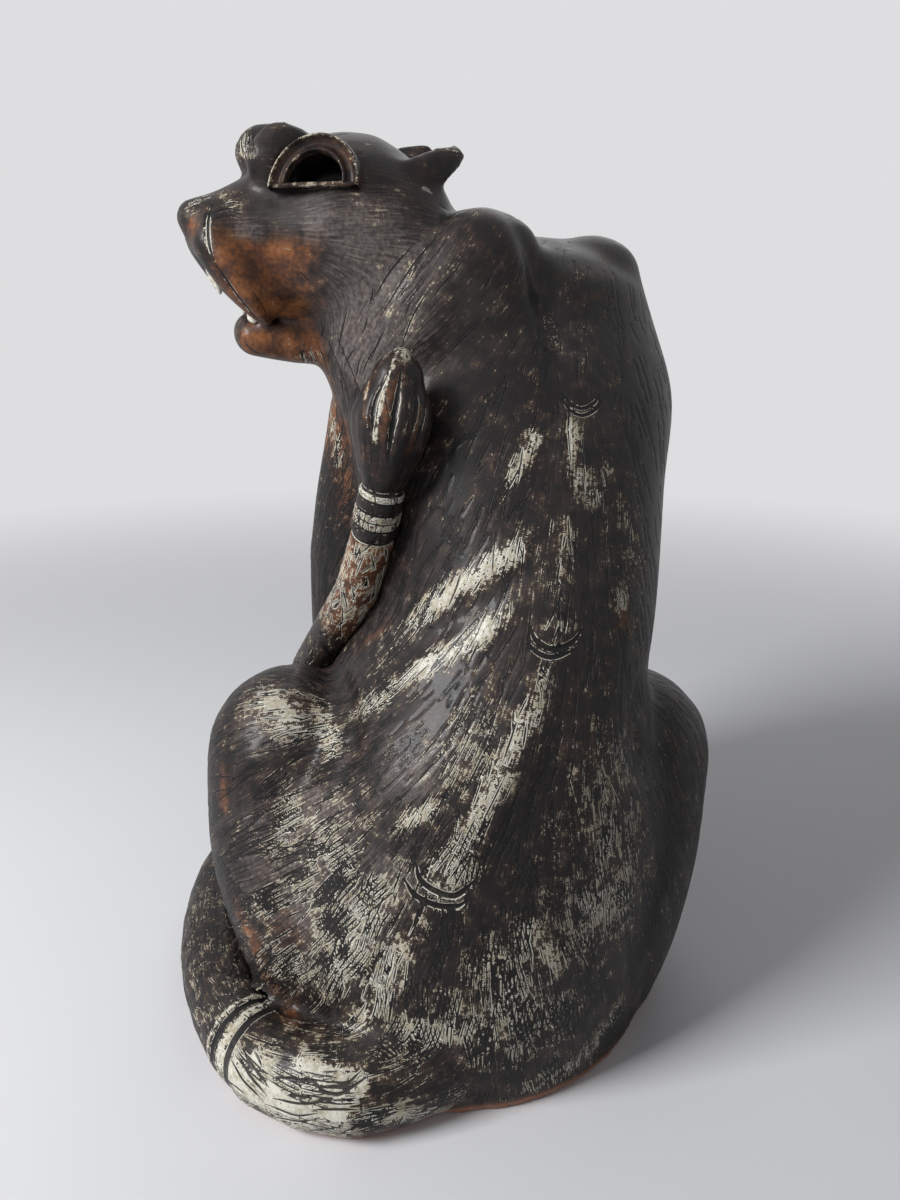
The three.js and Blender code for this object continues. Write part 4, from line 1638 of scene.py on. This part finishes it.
@dataclass(frozen=True)
class FloorRings:
    """The ringed band where the tail lies on the floor, and the paint on both sides of it."""

    pixel: Pixel = (222, 1016)
    furrows: tuple = ((5.2, 2.2), (17.5, 2.6))
    depth: float = 0.6 * MM
    joint: float = 11.5 * MM
    overlap: float = 25 * MM
    dark: tuple = ((2, 4, 8, 9), (15, 16, 21, 23))
    pale: tuple = ((8, 10, 14, 15), (-2, 0, 1, 2))
    rubbed: float = 0.2
    rubbed_pale: float = 0.5

    def start(self, surface: Surface) -> float:
        """Where the band begins, along the tail."""
        return float(TAIL.measure(surface.laid((self.pixel, self.pixel))[0])[0][0])

    def draw(self, strokes: Strokes, surface: Surface, start: float) -> None:
        """Cut the band's furrows."""
        for place, width in self.furrows:
            TAIL.ring(strokes, surface, start + place * MM, width * MM, self.depth)

    def cream(self, below: Array, start: float) -> Array:
        """How much of the slip is rubbed off along the tail."""
        here = (below - start) / MM
        return self.rubbed * (1 - bands(here, *self.dark)) + self.rubbed_pale * bands(here, *self.pale)


RINGS = FloorRings()


@dataclass(frozen=True)
class Wear:
    """Rubbed patches on the sides that the photograph does not show."""

    count: int = 150
    least: float = 7.0 * MM
    most: float = 20.0 * MM
    stretch: float = 2.4
    faintest: float = 0.22
    span: float = 0.34
    turned: tuple = (-0.25, 0.10)
    seed: int = 31

    def cream(self, surface: Surface, flow: Array) -> Array:
        """How much slip is rubbed off at each point.

        Args:
            surface: the skin.
            flow: the lie of its coat.

        Returns:
            A share for each point, nothing where the photograph shows the skin.
        """
        points = surface.points
        facing = (unit(np.array(VIEW.place) - points) * surface.normals).sum(1)
        random = np.random.default_rng(self.seed)
        total = np.zeros(len(points))
        for spot in random.choice(len(points), self.count):
            size = self.least + (self.most - self.least) * random.random() ** 2
            amount = self.faintest + self.span * random.random()
            gap = points - points[spot]
            along = gap @ flow[spot]
            across = np.maximum((gap * gap).sum(1) - along ** 2, 0)
            total = np.maximum(total, amount * np.exp(-(across + (along / self.stretch) ** 2) / size ** 2))
        return total * (1 - soft_step(facing, *self.turned))


@dataclass
class Coat(DressedSkin):
    """Body, legs, head and the root of the tail."""

    called: dict = field(default_factory=lambda: {"tail_floor": "tail_root"})
    head: tuple = ("head", "brow", "whisker", "nose", "lower_jaw", "ear")
    face: Pixel = (270, 330)
    melt_foot: tuple = (2 * MM, 8 * MM)
    press_rounds: int = 3
    fan: tuple = (0.0, 90.0 * MM)
    fan_far: tuple = (0.16, 0.26)
    fan_loss: float = 0.7
    hang: tuple = (0.0, 0.0, -0.4)
    jowl: tuple = (-10 * MM, 40 * MM)
    jowl_turn: float = 0.6
    head_rounds: int = 14
    tail_rounds: int = 6
    lie_rounds: tuple = (3, 6)
    cream: float = 0.06
    cream_rounds: int = 10
    ring_rounds: int = 2
    cavity_rounds: int = 14
    cavity_gain: float = 60.0
    clay_rim: tuple = (3.0 * MM, 8.0 * MM)
    underside: float = -0.7
    head_chance: float = 0.12
    shoulder_chance: float = 0.4
    tail_chance: float = 0.3
    high: tuple = (0.22, 0.36)
    high_chance: float = 0.35
    inside: Array = field(init=False)

    def melt(self) -> Array:
        """The joints that are smoothed over, away from the floor."""
        return stamp(self.even(), MELTED, self.surface) * soft_step(self.surface.points[:, 2], *self.melt_foot)

    def press(self) -> Array:
        """Raise the wide forms of the back, the shoulders and the face.

        Returns:
            How far each point is raised.
        """
        total = self.even()
        for brush in PRESSED:
            index, weight = brush.weights(self.surface.points, self.surface)
            total[index] += weight
        return self.near.smooth(total, self.press_rounds)

    def flow(self) -> Array:
        """Down the back and out from the spine, back from the nose on the head, and along the tail.

        Returns:
            The lie of the coat at each point.
        """
        points = self.surface.points
        spine = self.surface.laid(SPINE)[0]
        closest = nearest(tree_of(spine), points)
        away = points - spine[closest]
        far = np.linalg.norm(away, axis=1)
        fan = soft_step(far, *self.fan) * (1 - self.fan_loss * soft_step(far, *self.fan_far))
        way = unit(np.gradient(spine, axis=0))[closest] + unit(away) * fan[:, None] + np.array(self.hang)
        share = self.spread(self.head_rounds, *self.head)[:, None]
        matrix = np.array(HEAD.matrix())
        low = soft_step(-(points - matrix[:3, 3]) @ matrix[:3, 2], *self.jowl)[:, None]
        back = -matrix[:3, 0] * (1 - self.jowl_turn * low) - np.array([0.0, 0.0, 1.0]) * low
        way = unit(way) * (1 - share) + back * share
        share = self.spread(self.tail_rounds, "tail")[:, None]
        way = way * (1 - share) + TAIL.measure(points)[1] * share
        times, rounds = self.lie_rounds
        for _ in range(times):
            way = unit(flat(self.near.smooth(way, rounds), self.surface.normals))
        return way

    def paint(self) -> dict[Paint, Array]:
        """Cream where the slip is rubbed, amber on the muzzle, clay underneath and inside.

        Returns:
            The painted layers.
        """
        surface, points = self.surface, self.surface.points
        head = self.spread(self.cream_rounds, *self.head)
        tail = self.spread(self.ring_rounds, "tail")
        body = (1 - head) * (1 - tail)
        cream = self.cream * body + RINGS.cream(TAIL.measure(points)[0], self.ring_start) * tail
        layers = {Paint.CREAM: cream, Paint.AMBER: self.even(), Paint.ASH: self.even()}
        other_side = HEAD.mirrored(points)
        # The pale slip marks are partly painted light on the lit side of the neck, cheek, thigh and knee
        for values, marks in zip(layers.values(), (CREAM_MARKS, AMBER_MARKS, PALE_SLIP_AND_LIGHT_MARKS)):
            stamp(values, marks, surface)
            stamp(values, marks, surface, other_side, head > 0.5)
        # Darker slip on the right flank and back, partly painted shade
        layers[Paint.ASH] -= stamp(self.even(), DARK_SLIP_AND_SHADE_MARKS, surface)
        rubbed = np.maximum(cream, Wear().cream(surface, self.lie) * body)
        layers[Paint.CREAM] = np.clip(rubbed - surface.cavity(self.near, self.cavity_rounds) * self.cavity_gain, 0, 1)
        self.inside = self.clay.hollow(surface.mesh) == 1
        layers[Paint.CLAY] = np.maximum(self.inside, 1 - soft_step(points[:, 2], *self.clay_rim))
        return layers

    def chance(self) -> Array:
        """Most strokes on the haunches and the back, few on the head, none underneath.

        Returns:
            How likely a stroke starts at each point.
        """
        chance = np.where(self.inside | (self.surface.normals[:, 2] < self.underside), 0.0, 1.0)
        chance[self.mask(*self.head)] *= self.head_chance
        chance[self.mask("shoulder")] *= self.shoulder_chance
        chance[self.mask("tail")] *= self.tail_chance
        low = 1 - soft_step(self.surface.points[:, 2], *self.high)
        chance *= self.high_chance + (1 - self.high_chance) * low
        index, weight = THROAT.weights(self.surface.points, self.surface)
        chance[index] *= 1 + weight
        return chance

    def draw(self, strokes: Strokes) -> None:
        """The crescents down the spine, the lines of the face, the tail's arcs and its rings.

        Args:
            strokes: where they are added.
        """
        for brush in GROOVES:
            strokes.draw(self.surface, brush)
            (x, y), (right, bottom) = brush.line[0], self.face
            if x < right and y < bottom:
                strokes.draw(self.surface, brush, mirror=True)
        RINGS.draw(strokes, self.surface, self.ring_start)

    def shade_blacked(self, points: Array) -> Array:
        """The eye hollows, painted black as shade."""
        return np.any([eye.hollow(points) for eye in EYES], axis=0)

    def spare(self) -> Array:
        """The tail beyond its rings, which the tail's own skin shows."""
        below, _ = TAIL.measure(self.surface.points)
        return self.mask("tail") & (below < self.ring_start + RINGS.joint)


@dataclass
class Tail(DressedSkin):
    """The tail: hatched shaft, raised rings and a bud-shaped tuft."""

    furrows: tuple = ((1.5, 0.8), (6.0, 0.7), (13.0, 0.8), (18.0, 0.5), (23.0, 0.7), (31.0, 0.9))
    furrow_depth: float = 0.9
    slim: float = -0.09
    slim_span: tuple = (30, 64)
    point: float = 4.0 * MM
    point_width: float = 6 * MM
    point_span: tuple = (56, 74)
    squash: float = 0.07
    cavity_rounds: int = 18
    cavity_share: float = 0.8
    tuft_rounds: int = 3
    paint_rounds: int = 2
    swell: float = 1.2 * MM
    swell_span: tuple = (1, 4, 28, 32)
    tuft_furrow: float = 1.2
    shaft: tuple = (30, 34, 85, 125)
    band: tuple = (13, 15, 21, 23)
    dark: tuple = ((5, 6, 13, 14), (23, 24, 30, 31))
    line: tuple = (1, 2, 5, 6)
    floor_span: tuple = (60 * MM, 20 * MM)
    tip_span: tuple = (62, 71)
    plain_cream: float = 0.16
    shaft_paint: tuple = (0.22, 0.62)
    band_paint: tuple = (0.34, 0.55)
    line_cream: float = 0.50
    plain_amber: float = 0.1
    tuft_paint: tuple = (0.04, 0.16)
    tip_cream: float = 0.5
    clay_rim: tuple = (2.0 * MM, 6.5 * MM)
    underside: float = -0.7
    tuft_chance: float = 0.12

    def form(self) -> Array:
        """Draw the tuft out to a point, as a bud is.

        Returns:
            The points.
        """
        moved = self.surface.points.copy()
        below, ways = TAIL.measure(moved)
        tuft = below < 0
        middle = np.array([TAIL.on_axis(rise) for rise in -below[tuft]])
        out = moved[tuft] - middle
        high = -below[tuft] / MM
        slim = 1 - self.slim * soft_step(high, *self.slim_span)
        core = np.exp(-((np.linalg.norm(out, axis=1) / self.point_width) ** 2))
        lift = self.point * core * soft_step(high, *self.point_span) - self.squash * high * MM
        moved[tuft] = middle + out * slim[:, None] + ways[tuft] * lift[:, None]
        return moved

    def press(self) -> Array:
        """Deepen the furrows of the tuft and swell the rings.

        Returns:
            How far each point is raised.
        """
        points = self.surface.points
        tuft = self.spread(self.tuft_rounds, "tail_tuft")
        swell = bands(TAIL.measure(points)[0] / MM, self.swell_span) * self.swell
        total = swell - self.surface.cavity(self.near, self.cavity_rounds) * tuft * self.cavity_share
        for brush in TUFT_FURROWS:
            index, weight = brush.weights(points, self.surface)
            total[index] -= weight * tuft[index] * brush.width * self.tuft_furrow
        return total

    def flow(self) -> Array:
        """Along the tail."""
        return unit(flat(TAIL.measure(self.surface.points)[1], self.surface.normals))

    def paint(self) -> dict[Paint, Array]:
        """Cream rings, amber shaft, dark foot, and pale and amber ridges on the tuft.

        Returns:
            The painted layers.
        """
        points = self.surface.points
        below, _ = TAIL.measure(points)
        here = below / MM
        tuft = self.spread(self.paint_rounds, "tail_tuft")
        shaft, band, line = (bands(here, edges) for edges in (self.shaft, self.band, self.line))
        floor = soft_step(below, *(self.ring_start - gap for gap in self.floor_span))
        (shaft_cream, shaft_amber), (band_cream, band_amber) = self.shaft_paint, self.band_paint
        tuft_cream, tuft_amber = self.tuft_paint
        cream = self.plain_cream * (1 - bands(here, *self.dark))
        cream += shaft_cream * shaft + band_cream * band + self.line_cream * line
        cream = cream * (1 - floor) + RINGS.cream(below, self.ring_start) * floor
        tip = soft_step(-here, *self.tip_span)
        cream = cream * (1 - tuft) + tuft * (tuft_cream + self.tip_cream * tip)
        amber = (shaft_amber * shaft + band_amber * band + self.plain_amber) * (1 - tuft) + tuft_amber * tuft
        stamp(cream, TUFT_PALE, self.surface, None, tuft)
        stamp(amber, TUFT_AMBER, self.surface, None, tuft)
        clay = 1 - soft_step(points[:, 2], *self.clay_rim)
        return {Paint.CREAM: np.clip(cream, 0, 1), Paint.AMBER: amber, Paint.CLAY: clay}

    def chance(self) -> Array:
        """Strokes on the shaft and the floor end, few on the tuft."""
        chance = np.where(self.mask("tail_tuft"), self.tuft_chance, 1.0)
        return np.where(self.surface.normals[:, 2] < self.underside, 0.0, chance)

    def draw(self, strokes: Strokes) -> None:
        """The furrows of the rings and of the tuft.

        Args:
            strokes: where they are added.
        """
        for brush in TUFT_FURROWS:
            strokes.draw(self.surface, brush)
        for place, width in self.furrows:
            TAIL.ring(strokes, self.surface, place * MM, width * MM, width * self.furrow_depth * MM)
        RINGS.draw(strokes, self.surface, self.ring_start)

    def spare(self) -> Array:
        """The root, which the coat's skin shows."""
        return TAIL.measure(self.surface.points)[0] >= self.ring_start + RINGS.joint


@dataclass
class SmallPiece(DressedSkin):
    """A tooth or the tongue: a small smooth piece in one glaze."""

    cream: float = 0.0
    amber: float = 0.0

    @classmethod
    def of(cls, node: str, cream: float, amber: float) -> "SmallPiece":
        """The piece of one CAD node."""
        clay = ClaySkin(node, [node], voxel=0.8 * MM, overlap=0.05 * MM)
        return cls(clay, Combing(count=0), cream=cream, amber=amber)

    def flow(self) -> Array:
        """Towards the head's front."""
        way = np.array(HEAD.matrix())[:3, 0]
        return unit(flat(np.tile(way, (len(self.surface.points), 1)), self.surface.normals))

    def paint(self) -> dict[Paint, Array]:
        """One even glaze."""
        return {Paint.CREAM: self.even(self.cream), Paint.AMBER: self.even(self.amber), Paint.CLAY: self.even()}


@dataclass(frozen=True)
class EyeRim:
    """The applied arch round an open eye socket: an outer rim, a hollow band, an inner rim and a level lower lid."""

    node: str
    side: int
    centre: tuple = (31.2, 40.2, 28.7)
    yaw: float = 26.0
    tilt: float = 14.0
    turn: float = 5.0
    outer: tuple = (24.0, 25.5)
    inner: tuple = (14.5, 14.5)
    foot: float = 2.2
    profile: tuple = (
        (-0.05, -9.0), (-0.05, -1.0), (-0.02, 3.0), (0.06, 5.4), (0.16, 5.2), (0.28, 3.2), (0.50, 2.0), (0.68, 2.6),
        (0.80, 4.2), (0.90, 4.9), (0.98, 3.8), (1.02, -1.0), (1.04, -9.0),
    )
    skew: float = 0.16
    columns: int = 56
    wall: float = 1.0 * MM
    socket: float = 1.3
    socket_foot: float = 2.0
    socket_depth: float = 34.0
    bar: tuple = (1.2, 2.4)
    bar_thick: float = 1.3
    bar_tall: float = 1.3
    bar_short: float = 1.0
    bar_end: float = 0.05
    bar_blunt: int = 8
    bar_sides: int = 12
    bar_cream: float = 0.45
    rims: tuple = ((0.10, 1.0), (0.90, 0.55))
    rim_width: float = 0.07
    shade_black_from: float = 0.99
    cream: float = 0.70
    amber: float = 0.30
    doubles: float = 1e-6

    def axes(self) -> Matrix:
        """Place the eye.

        Returns:
            From the eye's axes, along the lid, up and out, to the object's.
        """
        yaw, tilt = math.radians(self.yaw), math.radians(self.tilt)
        out = Vector((math.sin(yaw) * math.cos(tilt), self.side * math.cos(yaw) * math.cos(tilt), math.sin(tilt)))
        level = Vector((0, 0, 1)).cross(out).normalized()
        lid = Matrix.Rotation(math.radians(self.side * self.turn), 3, out) @ level
        turn = Matrix((lid, out.cross(lid), out)).transposed().to_4x4()
        forward, across, up = self.centre
        return HEAD.matrix() @ Matrix.Translation(Vector((forward, across * self.side, up)) * MM) @ turn

    def hollow(self, points: Array) -> Array:
        """Find the skin in the socket.

        Args:
            points: the skin's points.

        Returns:
            Which of them are in it.
        """
        matrix = np.array(self.axes().inverted())
        along, up, out = (points @ matrix[:3, :3].T + matrix[:3, 3]).T / MM
        across = ((along - self.skew * up) / self.inner[0]) ** 2 + ((up - self.foot) / self.inner[1]) ** 2
        deep = (out < 0.0) & (out > -self.socket_depth)
        return (across < self.socket) & (up > self.foot - self.socket_foot) & deep

    def arch(self, share: float, row: float) -> tuple[Vector, float]:
        """A point of the arch.

        Args:
            share: 0 at one end of the arch, 1 at the other.
            row: 0 at the outer foot of the profile, 1 at the inner foot.

        Returns:
            The point in the eye's axes in metres, and its place across the arch.
        """
        steps = np.linspace(0, 1, len(self.profile))
        across, height = (float(np.interp(row, steps, values)) for values in zip(*self.profile))
        angle = math.pi * share
        outer = Vector((self.outer[0] * math.cos(angle), self.outer[1] * math.sin(angle), height))
        inner = Vector((self.inner[0] * math.cos(angle), self.foot + self.inner[1] * math.sin(angle), height))
        point = outer.lerp(inner, across)
        point.x += self.skew * point.y
        return point * MM, across

    def lower(self, share: float, round_share: float) -> Vector:
        """A point of the lower lid's bar.

        Args:
            share: 0 at one end of the bar, 1 at the other.
            round_share: 0 to 1 round the bar.

        Returns:
            The point in the eye's axes in metres.
        """
        along = 2 * share - 1
        thick = self.bar_thick * math.sqrt(max(self.bar_end, 1 - along ** self.bar_blunt))
        angle = -math.tau * round_share
        up, out = self.bar[0] + thick * math.cos(angle), self.bar[1] + self.bar_tall * thick * math.sin(angle)
        return Vector((along * (self.outer[0] - self.bar_short), up, out)) * MM

    def build(self, glaze: Material) -> None:
        """Make the rim and set it in the frame.

        Args:
            glaze: its material.
        """
        name = self.node + "_rim"
        mesh = bpy.data.meshes.new(name)
        pale, deep = {}, {}
        with shaping(mesh) as shape:
            made = bmesh.ops.create_grid(shape, x_segments=self.columns, y_segments=len(self.profile) - 1, size=1.0)
            for point in made["verts"]:
                point.co, across = self.arch((point.co.x + 1) / 2, (point.co.y + 1) / 2)
                # The inner foot of the arch, which runs into the socket, is painted black as shade
                deep[point] = across > self.shade_black_from
                near = [math.exp(-(((across - rim) / self.rim_width) ** 2)) * most for rim, most in self.rims]
                pale[point] = max(near)
            made = bmesh.ops.create_grid(shape, x_segments=self.columns, y_segments=self.bar_sides, size=1.0)
            for point in made["verts"]:
                point.co = self.lower((point.co.x + 1) / 2, (point.co.y + 1) / 2)
                deep[point] = False
                pale[point] = self.bar_cream
            bmesh.ops.remove_doubles(shape, verts=made["verts"], dist=self.doubles)
            shape.verts.index_update()
            cream = np.array([self.cream * pale[point] for point in shape.verts])
            marks = np.array([Strokes.shade_black if deep[point] else Strokes.unmarked for point in shape.verts])
            bmesh.ops.transform(shape, matrix=self.axes(), verts=shape.verts)
            bmesh.ops.recalc_face_normals(shape, faces=shape.faces)
        lie = np.tile(np.array(self.axes())[:3, 0], (len(cream), 1))
        layers = {"flow": lie, "stroke": marks, Paint.CREAM.value: cream}
        layers |= {Paint.AMBER.value: np.full(len(cream), self.amber), Paint.CLAY.value: np.zeros(len(cream))}
        for layer, values in layers.items():
            write_layer(mesh, layer, values)
        piece = new_object(name, mesh)
        finish_with(piece, ("SOLIDIFY", {"thickness": self.wall, "offset": -1.0}), FINER)
        piece.data.name = name
        set_smooth(piece.data)
        piece.data.materials.append(glaze)
        set_in_frame(piece, self.node)


EYES = (EyeRim("eyelid_left", 1), EyeRim("eyelid_right", -1))


@dataclass(frozen=True)
class Studio:
    """Plain pale floor and soft light."""

    room: tuple = linear(222, 222, 224)
    paper_tints: tuple = (linear(226, 227, 231), linear(231, 232, 236))
    paper_grain: tuple = (3.0, 2.0)
    paper_rough: float = 0.7
    fade: tuple = (0.50, 1.9)
    ambient: float = 0.18
    floor_size: float = 8.0
    floor_parts: int = 8
    aim: tuple = (0.0, 0.0, 0.25)
    lamps: tuple = (
        ("key", (-1.20, -0.72, 1.08), 0.6, 29.0),
        ("fill", (0.3, -1.4, 1.3), 1.0, 1.0),
        ("back", (0.2, 1.2, 1.3), 1.2, 4.0),
    )

    def build(self) -> None:
        """Make the floor, the lamps and the world."""
        mesh = bpy.data.meshes.new("floor")
        with shaping(mesh) as shape:
            parts = self.floor_parts
            bmesh.ops.create_grid(shape, x_segments=parts, y_segments=parts, size=self.floor_size)
        mesh.materials.append(self.paper())
        new_object("floor", mesh)
        for lamp in self.lamps:
            self.lamp(*lamp)
        self.sky()

    def seen(self, book: NodeBook) -> Sock:
        """Whether the camera, or gloss, looks at the room."""
        outputs = book.node("ShaderNodeLightPath").link.node.outputs
        return sum(Sock(book, outputs[ray]) for ray in ("Is Camera Ray", "Is Glossy Ray", "Is Transmission Ray"))

    def paper(self) -> Material:
        """Pale paper that fades into the room far behind the ornament.

        Returns:
            The floor's material.
        """
        book = NodeBook(bpy.data.materials.new("pale_floor"))
        place = book.place()
        tint = book.mix(book.noise(place, *self.paper_grain), *self.paper_tints)
        paper = book.node("ShaderNodeBsdfPrincipled", None, {"Base Color": tint, "Roughness": self.paper_rough})
        far = book.node("ShaderNodeVectorMath", {"operation": "LENGTH"}, {0: place}, "Value")
        glow = book.node("ShaderNodeEmission", None, {"Color": self.room, "Strength": 1.0})
        share = book.step(far, *self.fade) * self.seen(book)
        mixed = book.node("ShaderNodeMixShader", None, {0: share, 1: paper, 2: glow})
        book.node("ShaderNodeOutputMaterial", None, {"Surface": mixed})
        return book.owner

    def sky(self) -> None:
        """A pale room: plain to the camera and in gloss, softer as a light."""
        book = NodeBook(bpy.data.worlds.new("studio"))
        strength = self.seen(book) * (1 - self.ambient) + self.ambient
        light = book.node("ShaderNodeBackground", None, {"Color": self.room, "Strength": strength})
        book.node("ShaderNodeOutputWorld", None, {"Surface": light})
        bpy.context.scene.world = book.owner

    def lamp(self, name: str, place: tuple, size: float, power: float) -> None:
        """Hang one soft lamp that faces the ornament.

        Args:
            name: the lamp's name.
            place: where it hangs.
            size: its width.
            power: its power in watts.
        """
        data = bpy.data.lights.new(name, "AREA")
        data.size = size
        data.energy = power
        turn = (Vector(self.aim) - Vector(place)).to_track_quat("-Z", "Y").to_matrix().to_4x4()
        new_object(name, data).matrix_world = Matrix.Translation(place) @ turn


@dataclass(frozen=True)
class Ornament:
    """The whole ornament and how its pieces are grouped into skins."""

    apart: tuple = ("eyelid", "upper_fang", "lower_fang", "tongue", "tail_rise", "tail_tuft")
    levels: tuple = (0.13, 0.20, 0.27, 0.34)
    tail_voxel: float = 1.8 * MM
    tail_comb: Combing = field(
        default_factory=lambda: Combing(count=1500, longest=18 * MM, lean=22.0, gang=0.0, seed=5)
    )
    fang_paint: tuple = (0.95, 0.1)
    tongue_paint: tuple = (0.1, 0.9)

    def build(self, glaze: Material) -> None:
        """Make every piece.

        Args:
            glaze: their material.
        """
        names = sorted(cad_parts)
        coat = [name for name in names if not name.startswith(self.apart)]
        tail = [name for name in names if name.startswith("tail")]
        start = RINGS.start(Surface(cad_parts["tail_floor"].data))
        clay = ClaySkin("coat", coat, cuts={"tail_floor": TAIL.at(start + RINGS.joint - RINGS.overlap)})
        Coat(clay, Combing(), self.levels, start).build(glaze)
        Tail(ClaySkin("tail", tail, voxel=self.tail_voxel), self.tail_comb, (), start).build(glaze)
        for name in names:
            if "fang" in name:
                SmallPiece.of(name, *self.fang_paint).build(glaze)
        SmallPiece.of("tongue", *self.tongue_paint).build(glaze)
        for eye in EYES:
            eye.build(glaze)


def main() -> None:
    """Build the ornament and its studio."""
    logging.basicConfig(level=logging.INFO, format="%(asctime)s %(message)s")
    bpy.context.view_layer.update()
    VIEW.build()
    Studio().build()
    bpy.context.scene.view_settings.view_transform = "Standard"
    Ornament().build(CombedGlaze().material())


if __name__ == "__main__":
    main()
